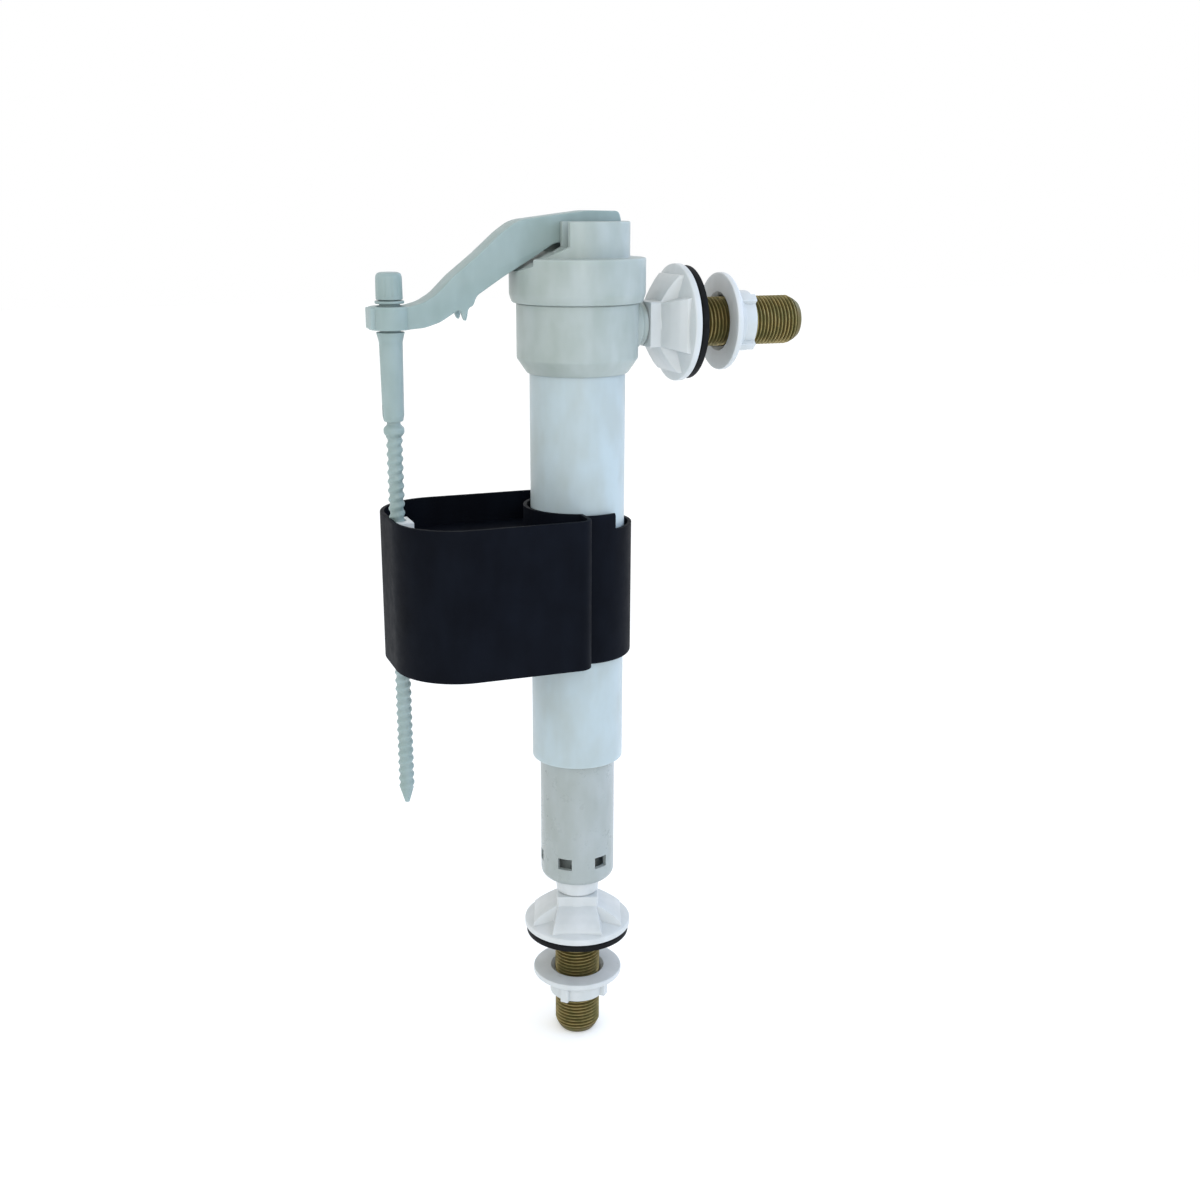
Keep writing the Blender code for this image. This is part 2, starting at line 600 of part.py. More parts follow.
def rod_sleeve():
    """Guide sleeve that hangs in the lever's ring, slotted below to snap over the rod's bead."""
    top = RING_CENTRE + RING_HALF_HEIGHT + RING_PLAY
    shoulder = RING_CENTRE - RING_HALF_HEIGHT - RING_PLAY
    thing = new_object("rod_sleeve", on_rod(revolved([
        (SLEEVE_BORE, SLEEVE_BOTTOM), (3.2, SLEEVE_BOTTOM), (3.5, SLEEVE_BOTTOM + 1.5), (3.8, shoulder - 3.2),
        (4.6, shoulder), (3.3, shoulder), (3.3, top), (4.7, top), (4.7, top + SLEEVE_RIM),
        (SLEEVE_BORE, top + SLEEVE_RIM)], SMALL_ROUND)))
    cut(thing, on_rod(box((-5, 5), (-SLEEVE_SLOT_HALF, SLEEVE_SLOT_HALF),
                          (SLEEVE_BOTTOM - 1, SLEEVE_BOTTOM + SLEEVE_SLOT_HEIGHT))))
    return finish(thing, LEVER_PLASTIC, RING_POINT)


def threaded_rod():
    """Adjusting screw, with its bead under the sleeve and a pointed end."""
    thread, shank, bead = ROD_THREAD_RADIUS, ROD_SHANK_RADIUS, ROD_THREAD_TOP + 1.0
    thing = new_object("threaded_rod", on_rod(revolved([
        (0, ROD_BOTTOM), (0.6, ROD_BOTTOM + 0.5), (2.2, ROD_BOTTOM + 5.5), (thread, ROD_BOTTOM + 7.0),
        (thread, ROD_THREAD_TOP), (BEAD_RADIUS, bead), (BEAD_RADIUS, bead + 1.6), (shank, bead + 2.8),
        (shank, 233.2), (shank - 0.2, 233.4), (shank - 0.2, ROD_TOP), (0, ROD_TOP)], FINE_ROUND)))
    return finish(thing, LEVER_PLASTIC, RING_POINT)


def adjuster_knob():
    """Knob on top of the rod, above the lever's ring."""
    low = RING_CENTRE + RING_HALF_HEIGHT + RING_PLAY + SLEEVE_RIM + GAP
    bore, bore_top = ROD_SHANK_RADIUS + 0.1, ROD_TOP + GAP
    edge = KNOB_RADIUS - 0.1
    thing = new_object("adjuster_knob", on_rod(revolved([
        (bore, low), (KNOB_RADIUS, low), (edge, KNOB_TOP - 1.4), (edge - 0.4, KNOB_TOP - 0.4),
        (edge - 1.3, KNOB_TOP), (0, KNOB_TOP), (0, bore_top), (bore, bore_top)], SMALL_ROUND)))
    return finish(thing, LEVER_PLASTIC, RING_POINT)


def float_plan(inset):
    """Plan of the float's outer wall, moved inwards by an inset."""
    end_centre = (FLOAT_END + FLOAT_END_RADIUS, FLOAT_HALF_WIDTH - FLOAT_END_RADIUS)
    shoulder = (FLOAT_SHOULDER - FLOAT_SHOULDER_RADIUS, FLOAT_HALF_WIDTH - FLOAT_SHOULDER_RADIUS)
    near = arc(end_centre, FLOAT_END_RADIUS - inset, 180, 90, 8)
    near += arc(shoulder, FLOAT_SHOULDER_RADIUS - inset, 90, 0, 5)
    return near + [(x, -y) for x, y in reversed(near)]


def float_cup():
    """Inverted cup that traps air, with a recessed deck and a collar that slides on the column."""
    thing = new_object("float_cup", extruded(float_plan(0), FLOAT_BOTTOM, FLOAT_TOP))
    add(thing, rod(COLLAR_RADIUS, COLLAR_BOTTOM, COLLAR_TOP, COLLAR_ROUND))
    cut(thing, float_hollow(FLOAT_BOTTOM - 1, FLOAT_WEB_TOP - FLOAT_WEB_THICKNESS))
    cut(thing, float_hollow(FLOAT_WEB_TOP, FLOAT_TOP + 1))
    cut(thing, rod(COLLAR_BORE, COLLAR_BOTTOM - 1, FLOAT_TOP + 1, COLLAR_ROUND))
    cut(thing, on_rod(rod(FLOAT_ROD_BORE, FLOAT_BOTTOM - 1, FLOAT_TOP + 1)))
    cut(thing, on_rod(box((-2.4, 8.0), (-6.3, 6.3), (FLOAT_WEB_TOP, FLOAT_TOP + 1))))
    reach = COLLAR_RADIUS + 2
    cut(thing, box((COLLAR_STEP_X, reach), (-reach, reach), (COLLAR_STEP, COLLAR_TOP + 1)))
    return finish(thing, FLOAT_PLASTIC, RING_POINT)


def float_hollow(bottom, top):
    """The space between the float's outer wall, its collar and the tube around the rod."""
    hollow = new_object("hollow", extruded(float_plan(FLOAT_WALL), bottom, top))
    cut(hollow, rod(COLLAR_RADIUS, bottom - 1, top + 1, COLLAR_ROUND))
    cut(hollow, on_rod(rod(FLOAT_ROD_TUBE, bottom - 1, top + 1)))
    builder = bmesh.new()
    builder.from_mesh(hollow.data)
    bpy.data.objects.remove(hollow, do_unlink=True)
    return builder


def float_clip():
    """White clip on the float's deck that engages the rod's thread."""
    low = FLOAT_WEB_TOP + GAP
    thing = new_object("float_clip", on_rod(box((-2.0, 4.6), (-CLIP_HALF_WIDTH, CLIP_HALF_WIDTH),
                                              (low, FLOAT_TOP - 1.2))))
    cut(thing, on_rod(rod(CLIP_BORE, low - 1, FLOAT_TOP + 1)))
    return finish(thing, FITTING_PLASTIC, RING_POINT)


def main():
    """Build the whole valve."""
    clear_scene()
    bottom_frame = frame_at("bottom_inlet_frame", (0, 0, 0))
    side_frame = frame_at("side_inlet_frame", (SIDE_WASHER_FACE, 0, SIDE_AXIS_HEIGHT), (0, -math.pi / 2, 0))
    inlet_fitting("bottom", bottom_frame, BOTTOM_BACKNUT_FACE, GRIP_TURN)
    inlet_fitting("side", side_frame, SIDE_BACKNUT_FACE)
    lower_tube()
    riser_tube()
    riser_seal()
    drop_tube()
    valve_body()
    main_seat()
    diaphragm()
    metering_pin()
    head_gasket()
    head_cap()
    pivot_pin()
    pilot_jet()
    lever_arm()
    pilot_pad()
    rod_sleeve()
    threaded_rod()
    adjuster_knob()
    float_cup()
    float_clip()


main()
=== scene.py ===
"""Looks of a cistern float valve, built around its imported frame.

Each sub-assembly of the valve is a class. It reads the places of its pieces from
the frame, models them in millimetres with bmesh operators, and dresses them in
finishes that are worked out from what the real surfaces are.
"""
from __future__ import annotations

import json
import logging
import math
from collections.abc import Iterable, Sequence
from dataclasses import dataclass
from enum import Enum

import bmesh
import bpy
from mathutils import Matrix, Vector

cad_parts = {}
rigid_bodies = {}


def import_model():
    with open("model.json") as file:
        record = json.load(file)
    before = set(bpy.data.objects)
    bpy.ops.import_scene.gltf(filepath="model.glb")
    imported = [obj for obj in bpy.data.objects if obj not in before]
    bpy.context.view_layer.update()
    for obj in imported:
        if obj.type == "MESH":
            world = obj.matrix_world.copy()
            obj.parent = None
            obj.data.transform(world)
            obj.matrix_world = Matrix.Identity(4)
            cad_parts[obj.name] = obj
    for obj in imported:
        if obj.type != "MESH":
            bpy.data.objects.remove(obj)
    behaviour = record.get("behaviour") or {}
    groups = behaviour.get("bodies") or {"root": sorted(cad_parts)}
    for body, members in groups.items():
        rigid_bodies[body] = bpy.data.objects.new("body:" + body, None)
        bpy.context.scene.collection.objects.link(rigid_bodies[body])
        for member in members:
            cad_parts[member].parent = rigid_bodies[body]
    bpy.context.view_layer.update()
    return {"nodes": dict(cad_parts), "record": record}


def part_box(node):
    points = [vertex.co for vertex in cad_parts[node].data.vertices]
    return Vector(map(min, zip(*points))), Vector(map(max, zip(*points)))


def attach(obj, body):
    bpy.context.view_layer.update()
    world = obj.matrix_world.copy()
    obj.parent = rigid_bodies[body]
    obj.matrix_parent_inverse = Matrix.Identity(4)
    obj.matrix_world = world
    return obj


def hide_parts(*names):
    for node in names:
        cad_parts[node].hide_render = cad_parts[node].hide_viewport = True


LOG = logging.getLogger("float_valve")
MM = 0.001
WELD = 0.0005
TURN = math.tau
# Millimetres in the part's frame, which several pieces share.
ROD_X = -63.5
SIDE_INLET_HEIGHT = 223.6

Point = tuple[float, float]


class Plane(Enum):
    """The plane in which an outline is drawn before it is extruded."""

    PLAN = "xy"
    SIDE = "xz"


class Cut(Enum):
    """How one solid is combined with another."""

    ADD = "UNION"
    REMOVE = "DIFFERENCE"


# Colour and node helpers.

def srgb(code: str) -> tuple[float, float, float, float]:
    """Turn an sRGB hex colour into linear values.

    Args:
        code: The colour as #rrggbb.

    Returns:
        Red, green, blue and alpha.
    """
    parts = [int(code[place:place + 2], 16) / 255 for place in (1, 3, 5)]
    linear = [part / 12.92 if part <= 0.04045 else ((part + 0.055) / 1.055) ** 2.4 for part in parts]
    return linear[0], linear[1], linear[2], 1.0


def add_node(tree: bpy.types.NodeTree, kind: str, inputs: dict[str | int, object] | None = None,
             **settings: object) -> bpy.types.Node:
    """Add a node with its settings, and fill or link its inputs.

    Args:
        tree: The node tree that takes the node.
        kind: The node's type name.
        inputs: Values or output sockets, by input name or number.
        **settings: Properties of the node.

    Returns:
        The new node.
    """
    node = tree.nodes.new(kind)
    for name, value in settings.items():
        setattr(node, name, value)
    for name, value in (inputs or {}).items():
        if isinstance(value, bpy.types.NodeSocket):
            tree.links.new(value, node.inputs[name])
        else:
            node.inputs[name].default_value = value
    return node


# Finishes.

@dataclass(frozen=True)
class Finish:
    """A surface finish that can make its own material."""

    name: str

    def material(self) -> bpy.types.Material:
        """Return this finish's material, made the first time it is asked for."""
        found = bpy.data.materials.get(self.name)
        if found:
            return found
        material = bpy.data.materials.new(self.name)
        material.use_nodes = True
        tree = material.node_tree
        tree.nodes.clear()
        place = add_node(tree, "ShaderNodeTexCoord").outputs["Object"]
        shader = add_node(tree, "ShaderNodeBsdfPrincipled", self.surface(tree, place))
        add_node(tree, "ShaderNodeOutputMaterial", {"Surface": shader.outputs["BSDF"]})
        return material

    def surface(self, tree: bpy.types.NodeTree, place: bpy.types.NodeSocket) -> dict[str | int, object]:
        """Return the inputs of the finish's Principled shader."""
        raise NotImplementedError


@dataclass(frozen=True)
class MouldedPlastic(Finish):
    """Injection-moulded plastic: cloudy melt colour, a fine spark-eroded grain and scuffed gloss."""

    base: str
    cloud: str
    roughness: float
    subsurface: float = 0.0
    ior: float = 1.49
    specular: float = 0.4
    cloud_mm: float = 16.0
    grain_mm: float = 0.45
    grain_depth_mm: float = 0.012
    flow_mm: float = 6.0

    def surface(self, tree: bpy.types.NodeTree, place: bpy.types.NodeSocket) -> dict[str | int, object]:
        """Return the inputs of the plastic's shader.

        Args:
            tree: The material's node tree.
            place: The Object coordinates, in metres.

        Returns:
            Values and sockets for the Principled shader.
        """
        clouds = add_node(tree, "ShaderNodeTexNoise", {
            "Vector": place, "Scale": 1 / (self.cloud_mm * MM), "Detail": 3.0, "Roughness": 0.55})
        stretched = add_node(tree, "ShaderNodeMapping", {"Vector": place, "Scale": (1.0, 1.0, 0.35)})
        flow = add_node(tree, "ShaderNodeTexNoise", {
            "Vector": stretched.outputs["Vector"], "Scale": 1 / (self.flow_mm * MM), "Detail": 2.0})
        mixed = add_node(tree, "ShaderNodeMath", {
            0: clouds.outputs["Fac"], 1: flow.outputs["Fac"]}, operation="ADD")
        share = add_node(tree, "ShaderNodeMapRange", {
            "Value": mixed.outputs["Value"], "From Min": 0.75, "From Max": 1.25})
        colour = add_node(tree, "ShaderNodeMix", {
            "Factor": share.outputs["Result"], "A": srgb(self.base), "B": srgb(self.cloud)}, data_type="RGBA")
        scuffs = add_node(tree, "ShaderNodeTexNoise", {
            "Vector": place, "Scale": 1 / (self.flow_mm * MM * 0.7), "Detail": 5.0, "Roughness": 0.7})
        gloss = add_node(tree, "ShaderNodeMapRange", {
            "Value": scuffs.outputs["Fac"], "From Min": 0.3, "From Max": 0.75,
            "To Min": self.roughness - 0.06, "To Max": self.roughness + 0.09})
        grain = add_node(tree, "ShaderNodeTexNoise", {
            "Vector": place, "Scale": 1 / (self.grain_mm * MM), "Detail": 2.0})
        relief = add_node(tree, "ShaderNodeBump", {
            "Height": grain.outputs["Fac"], "Strength": 0.35, "Distance": self.grain_depth_mm * MM})
        return {"Base Color": colour.outputs["Result"], "Roughness": gloss.outputs["Result"],
                "Normal": relief.outputs["Normal"], "IOR": self.ior,
                "Specular IOR Level": self.specular,
                "Subsurface Weight": self.subsurface, "Subsurface Radius": (1.0, 1.15, 1.25),
                "Subsurface Scale": 3.0 * MM}


@dataclass(frozen=True)
class TurnedBrass(Finish):
    """Dezincified turned brass: olive-brown oxide in the thread's roots, brighter worn crests."""

    axis_height_mm: float = 0.0
    lies_along_x: bool = False
    root_mm: float = 7.5
    crest_mm: float = 8.33
    crest: str = "#a09160"
    root: str = "#6b5f3b"
    stain: str = "#6c6a42"

    def surface(self, tree: bpy.types.NodeTree, place: bpy.types.NodeSocket) -> dict[str | int, object]:
        """Return the inputs of the brass's shader.

        Args:
            tree: The material's node tree.
            place: The Object coordinates, in metres.

        Returns:
            Values and sockets for the Principled shader.
        """
        flatten = (0.0, 1.0, 1.0) if self.lies_along_x else (1.0, 1.0, 0.0)
        centred = add_node(tree, "ShaderNodeVectorMath", {
            0: place, 1: (0.0, 0.0, self.axis_height_mm * MM)}, operation="SUBTRACT")
        across = add_node(tree, "ShaderNodeVectorMath", {
            0: centred.outputs["Vector"], 1: flatten}, operation="MULTIPLY")
        radius = add_node(tree, "ShaderNodeVectorMath", {0: across.outputs["Vector"]}, operation="LENGTH")
        height = add_node(tree, "ShaderNodeMapRange", {
            "Value": radius.outputs["Value"], "From Min": self.root_mm * MM, "From Max": self.crest_mm * MM})
        depth = add_node(tree, "ShaderNodeMix", {
            "Factor": height.outputs["Result"], "A": srgb(self.root), "B": srgb(self.crest)},
            data_type="RGBA")
        oxide = add_node(tree, "ShaderNodeTexNoise", {
            "Vector": place, "Scale": 1 / (4.0 * MM), "Detail": 5.0, "Roughness": 0.65})
        patch = add_node(tree, "ShaderNodeMapRange", {
            "Value": oxide.outputs["Fac"], "From Min": 0.42, "From Max": 0.62, "To Max": 0.75})
        colour = add_node(tree, "ShaderNodeMix", {
            "Factor": patch.outputs["Result"], "A": depth.outputs["Result"], "B": srgb(self.stain)},
            data_type="RGBA")
        gloss = add_node(tree, "ShaderNodeMapRange", {
            "Value": oxide.outputs["Fac"], "From Min": 0.35, "From Max": 0.65, "To Min": 0.38, "To Max": 0.6})
        marks = add_node(tree, "ShaderNodeTexNoise", {
            "Vector": place, "Scale": 1 / (0.35 * MM), "Detail": 2.0})
        relief = add_node(tree, "ShaderNodeBump", {
            "Height": marks.outputs["Fac"], "Strength": 0.3, "Distance": 0.02 * MM})
        return {"Base Color": colour.outputs["Result"], "Metallic": 0.85,
                "Roughness": gloss.outputs["Result"], "Normal": relief.outputs["Normal"]}


@dataclass(frozen=True)
class NitrileRubber(Finish):
    """Moulded nitrile rubber: matt black with pale bloom and a soft grain."""

    base: str = "#08090b"
    bloom: str = "#14171a"

    def surface(self, tree: bpy.types.NodeTree, place: bpy.types.NodeSocket) -> dict[str | int, object]:
        """Return the inputs of the rubber's shader.

        Args:
            tree: The material's node tree.
            place: The Object coordinates, in metres.

        Returns:
            Values and sockets for the Principled shader.
        """
        bloom = add_node(tree, "ShaderNodeTexNoise", {
            "Vector": place, "Scale": 1 / (3.0 * MM), "Detail": 4.0})
        share = add_node(tree, "ShaderNodeMapRange", {
            "Value": bloom.outputs["Fac"], "From Min": 0.45, "From Max": 0.75})
        colour = add_node(tree, "ShaderNodeMix", {
            "Factor": share.outputs["Result"], "A": srgb(self.base), "B": srgb(self.bloom)},
            data_type="RGBA")
        grain = add_node(tree, "ShaderNodeTexNoise", {
            "Vector": place, "Scale": 1 / (0.3 * MM), "Detail": 2.0})
        relief = add_node(tree, "ShaderNodeBump", {
            "Height": grain.outputs["Fac"], "Strength": 0.4, "Distance": 0.02 * MM})
        return {"Base Color": colour.outputs["Result"], "Roughness": 0.62,
                "Normal": relief.outputs["Normal"], "IOR": 1.52, "Specular IOR Level": 0.12}


@dataclass(frozen=True)
class StudioPaper(Finish):
    """Matt white paper of a product photographer's table."""

    tone: str = "#fafbfb"
    glow: float = 0.14

    def surface(self, tree: bpy.types.NodeTree, place: bpy.types.NodeSocket) -> dict[str | int, object]:
        """Return the inputs of the paper's shader."""
        fibre = add_node(tree, "ShaderNodeTexNoise", {"Vector": place, "Scale": 1 / (2.0 * MM)})
        relief = add_node(tree, "ShaderNodeBump", {
            "Height": fibre.outputs["Fac"], "Strength": 0.1, "Distance": 0.05 * MM})
        return {"Base Color": srgb(self.tone), "Roughness": 0.9, "Normal": relief.outputs["Normal"],
                "Specular IOR Level": 0.1, "Emission Color": srgb(self.tone),
                "Emission Strength": self.glow}


# Natural polypropylene: milky, blue-white and a little translucent.
BODY_POLYPROPYLENE = MouldedPlastic("natural_polypropylene", "#adbdc3", "#a6b3b5", 0.36, subsurface=0.35)
# The same polymer in the valve body and its cap, less translucent; its greyer, darker colour is painted
# shade, a copy of the column's polypropylene darkened to stand in for the shade on the head.
HEAD_SHADED_POLYPROPYLENE = MouldedPlastic("head_polypropylene_painted_shade", "#a3aead", "#96a29e", 0.38,
                                      subsurface=0.25)
# The same polymer in the outlet tube's thin wall, milky, with the fine grain of a polished tool; its greyer,
# darker colour is painted shade, a copy of the column's polypropylene darkened to stand in for shade on the
# tube.
TUBE_SHADED_POLYPROPYLENE = MouldedPlastic("tube_polypropylene_painted_shade", "#9fa8a9", "#959e9c", 0.3,
                                     subsurface=0.12, grain_depth_mm=0.004)
# Acetal copolymer: greyer and greener than the column, waxy.
LEVER_ACETAL = MouldedPlastic("grey_green_acetal", "#91a3a4", "#869997", 0.4, subsurface=0.3)
# White ABS of the inlet fittings: opaque, brighter and semi-gloss.
FITTING_ABS = MouldedPlastic("white_abs", "#c8cdcf", "#bdc3c4", 0.33, subsurface=0.12, ior=1.53)
# Black polypropylene of the float: carbon black with a blue cast, satin.
FLOAT_POLYPROPYLENE = MouldedPlastic("black_polypropylene", "#090c13", "#0d1119", 0.55, specular=0.04,
                                     grain_mm=0.6)
RUBBER = NitrileRubber("nitrile_rubber")
JET_BRASS = TurnedBrass("jet_brass", root_mm=0.0, crest_mm=60.0)
PAPER = StudioPaper("studio_paper")

SLOT_FINISHES: dict[str, Finish] = {
    "column_plastic": BODY_POLYPROPYLENE, "lever_plastic": LEVER_ACETAL, "fitting_plastic": FITTING_ABS,
    "float_plastic": FLOAT_POLYPROPYLENE, "brass": JET_BRASS, "rubber": RUBBER}


# Outlines.

def arc(centre: Point, radius: float, start: float, end: float, steps: int) -> list[Point]:
    """Return points on an arc.

    Args:
        centre: The arc's centre.
        radius: The arc's radius.
        start: The first angle, in degrees.
        end: The last angle, in degrees.
        steps: How many steps the arc has.

    Returns:
        The points, from start to end.
    """
    turns = [math.radians(start + (end - start) * step / steps) for step in range(steps + 1)]
    return [(centre[0] + radius * math.cos(turn), centre[1] + radius * math.sin(turn)) for turn in turns]


def softened(points: Sequence[Point], radius: float, steps: int = 3, closed: bool = True) -> list[Point]:
    """Round the corners of an outline.

    Args:
        points: The outline's corners.
        radius: How far back from a corner its rounding starts.
        steps: How many steps each rounding has.
        closed: Whether the last point joins the first.

    Returns:
        The rounded outline.
    """
    corners = [Vector(point) for point in points]
    result: list[Point] = []
    for place, corner in enumerate(corners):
        if not closed and place in (0, len(corners) - 1):
            result.append(tuple(corner))
            continue
        before = corners[place - 1] - corner
        after = corners[(place + 1) % len(corners)] - corner
        start = corner + before * min(0.45, radius / before.length)
        end = corner + after * min(0.45, radius / after.length)
        for step in range(steps + 1):
            share = step / steps
            rest = 1 - share
            result.append(tuple(start * rest ** 2 + corner * 2 * share * rest + end * share ** 2))
    return result


# Solids. A bmesh is in millimetres, in the part's frame, until it is dressed.

def spun(profile: Sequence[Point], segments: int = 128) -> bmesh.types.BMesh:
    """Spin a closed outline about the Z axis.

    Args:
        profile: (radius, height) corners.
        segments: How many segments a full turn has.

    Returns:
        The closed solid.
    """
    solid = bmesh.new()
    ring = [solid.verts.new((radius, 0.0, height)) for radius, height in profile]
    for start, end in zip(ring, ring[1:] + ring[:1]):
        if start.co.x > WELD or end.co.x > WELD:
            solid.edges.new((start, end))
    bmesh.ops.spin(solid, geom=solid.verts[:] + solid.edges[:], axis=(0, 0, 1), cent=(0, 0, 0),
                   dvec=(0, 0, 0), angle=TURN, steps=segments, use_merge=True)
    return cleaned(solid)


def cleaned(solid: bmesh.types.BMesh) -> bmesh.types.BMesh:
    """Merge a solid's doubles and turn its faces outwards."""
    bmesh.ops.remove_doubles(solid, verts=solid.verts, dist=WELD)
    bmesh.ops.dissolve_degenerate(solid, edges=solid.edges, dist=WELD)
    bmesh.ops.recalc_face_normals(solid, faces=solid.faces)
    return solid


def cylinder(radius: float, low: float, high: float, segments: int = 64) -> bmesh.types.BMesh:
    """Return a plain cylinder on the Z axis, used to cut and to join."""
    return spun([(0, low), (radius, low), (radius, high), (0, high)], segments)


def threaded(crest: float, root: float, pitch: float, low: float, high: float,
             segments: int = 72) -> bmesh.types.BMesh:
    """Spin a row of teeth up a right-hand helix and trim its ends flat.

    Args:
        crest: Radius over the teeth.
        root: Radius between the teeth.
        pitch: Rise of one turn.
        low: Height of the lower end.
        high: Height of the upper end.
        segments: How many segments a turn has.

    Returns:
        The closed threaded solid.
    """
    solid = bmesh.new()
    teeth = math.ceil((high - low) / pitch) + 3
    tooth = [(root, 0.0), (root, 0.12), (crest, 0.42), (crest, 0.58), (root, 0.88)]
    start = low - 2 * pitch
    line = [solid.verts.new((radius, 0.0, start + (number + rise) * pitch))
            for number in range(teeth) for radius, rise in tooth]
    for first, second in zip(line, line[1:]):
        solid.edges.new((first, second))
    bmesh.ops.spin(solid, geom=solid.verts[:] + solid.edges[:], axis=(0, 0, 1), cent=(0, 0, 0),
                   dvec=(0, 0, pitch / segments), angle=TURN, steps=segments, use_merge=False)
    bmesh.ops.remove_doubles(solid, verts=solid.verts, dist=WELD * 4)
    for height, side in ((low, -1), (high, 1)):
        bmesh.ops.bisect_plane(solid, geom=solid.verts[:] + solid.edges[:] + solid.faces[:],
                               plane_co=(0, 0, height), plane_no=(0, 0, side), clear_outer=True)
        rim = [edge for edge in solid.edges if edge.is_boundary
               and all(abs(vertex.co.z - height) < WELD * 4 for vertex in edge.verts)]
        bmesh.ops.edgeloop_fill(solid, edges=rim)
    return cleaned(solid)


def extruded(outline: Sequence[Point], low: float, high: float, plane: Plane = Plane.PLAN,
             edge: float = 0.0) -> bmesh.types.BMesh:
    """Extrude an outline along the axis at right angles to its plane.

    Args:
        outline: The outline's corners.
        low: Where the extrusion starts.
        high: Where it ends.
        plane: The plane that the outline is drawn in.
        edge: Rounding of the edges around both ends.

    Returns:
        The closed solid.
    """
    solid = bmesh.new()
    if plane is Plane.PLAN:
        corners = [solid.verts.new((x, y, low)) for x, y in outline]
        depth = Vector((0, 0, high - low))
    else:
        corners = [solid.verts.new((x, low, z)) for x, z in outline]
        depth = Vector((0, high - low, 0))
    face = solid.faces.new(corners)
    grown = bmesh.ops.extrude_face_region(solid, geom=[face], use_keep_orig=True)
    moved = [item for item in grown["geom"] if isinstance(item, bmesh.types.BMVert)]
    bmesh.ops.translate(solid, verts=moved, vec=depth)
    bmesh.ops.recalc_face_normals(solid, faces=solid.faces)
    if edge:
        caps = [item for item in solid.faces if len(item.verts) == len(outline)]
        rims = list({item for cap in caps for item in cap.edges})
        bmesh.ops.bevel(solid, geom=rims, offset=edge, segments=3, profile=0.5, affect="EDGES", material=-1)
    return cleaned(solid)


def block(x: Point, y: Point, z: Point, edge: float = 0.0) -> bmesh.types.BMesh:
    """Return a box between three pairs of limits, with rounded edges if asked."""
    solid = bmesh.new()
    size = Matrix.Diagonal((x[1] - x[0], y[1] - y[0], z[1] - z[0], 1.0))
    middle = Matrix.Translation(((x[0] + x[1]) / 2, (y[0] + y[1]) / 2, (z[0] + z[1]) / 2))
    bmesh.ops.create_cube(solid, size=1.0, matrix=middle @ size)
    if edge:
        bmesh.ops.bevel(solid, geom=solid.edges[:], offset=edge, segments=3, profile=0.5, affect="EDGES",
                        material=-1)
    return solid


def moved(solid: bmesh.types.BMesh, *matrices: Matrix) -> bmesh.types.BMesh:
    """Move a solid by one matrix after another and give it back."""
    for matrix in matrices:
        bmesh.ops.transform(solid, matrix=matrix, verts=solid.verts)
    return solid


def turned(degrees: float, axis: str = "Z") -> Matrix:
    """Return the matrix of a turn about an axis through the origin."""
    return Matrix.Rotation(math.radians(degrees), 4, axis)


def shifted(x: float = 0.0, y: float = 0.0, z: float = 0.0) -> Matrix:
    """Return the matrix of a shift."""
    return Matrix.Translation((x, y, z))


def workpiece(name: str, solid: bmesh.types.BMesh) -> bpy.types.Object:
    """Put a bmesh into an object of the scene and free it."""
    mesh = bpy.data.meshes.new(name)
    solid.to_mesh(mesh)
    solid.free()
    piece = bpy.data.objects.new(name, mesh)
    bpy.context.scene.collection.objects.link(piece)
    return piece


def combined(base: bmesh.types.BMesh, tool: bmesh.types.BMesh, how: Cut) -> bmesh.types.BMesh:
    """Add one solid to another or remove it.

    Args:
        base: The solid that is changed, which is used up.
        tool: The solid that changes it, which is used up.
        how: Whether the tool is added or removed.

    Returns:
        The result.
    """
    first, second = workpiece("base", base), workpiece("tool", tool)
    modifier = first.modifiers.new("combine", "BOOLEAN")
    modifier.operation = how.value
    modifier.object = second
    bpy.context.view_layer.update()
    evaluated = first.evaluated_get(bpy.context.evaluated_depsgraph_get())
    result = bmesh.new()
    result.from_mesh(evaluated.to_mesh())
    for piece in (first, second):
        mesh = piece.data
        bpy.data.objects.remove(piece, do_unlink=True)
        bpy.data.meshes.remove(mesh)
    bmesh.ops.remove_doubles(result, verts=result.verts, dist=WELD)
    bmesh.ops.dissolve_degenerate(result, edges=result.edges, dist=WELD)
    return result


def added(base: bmesh.types.BMesh, tools: Iterable[bmesh.types.BMesh]) -> bmesh.types.BMesh:
    """Join solids to a base, one after another."""
    for tool in tools:
        base = combined(base, tool, Cut.ADD)
    return base


def removed(base: bmesh.types.BMesh, tools: Iterable[bmesh.types.BMesh]) -> bmesh.types.BMesh:
    """Cut solids out of a base, one after another."""
    for tool in tools:
        base = combined(base, tool, Cut.REMOVE)
    return base


def span(node: str) -> tuple[Vector, Vector]:
    """Return the lowest and highest corners of a frame node, in millimetres."""
    low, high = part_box(node)
    return low / MM, high / MM


@dataclass(frozen=True)
class Dressing:
    """What a finished piece is told: its finish, its body and the nodes it stands for, kept together with its
    slot.
    """

    finish: Finish
    slot: str
    body: str
    nodes: tuple[str, ...]


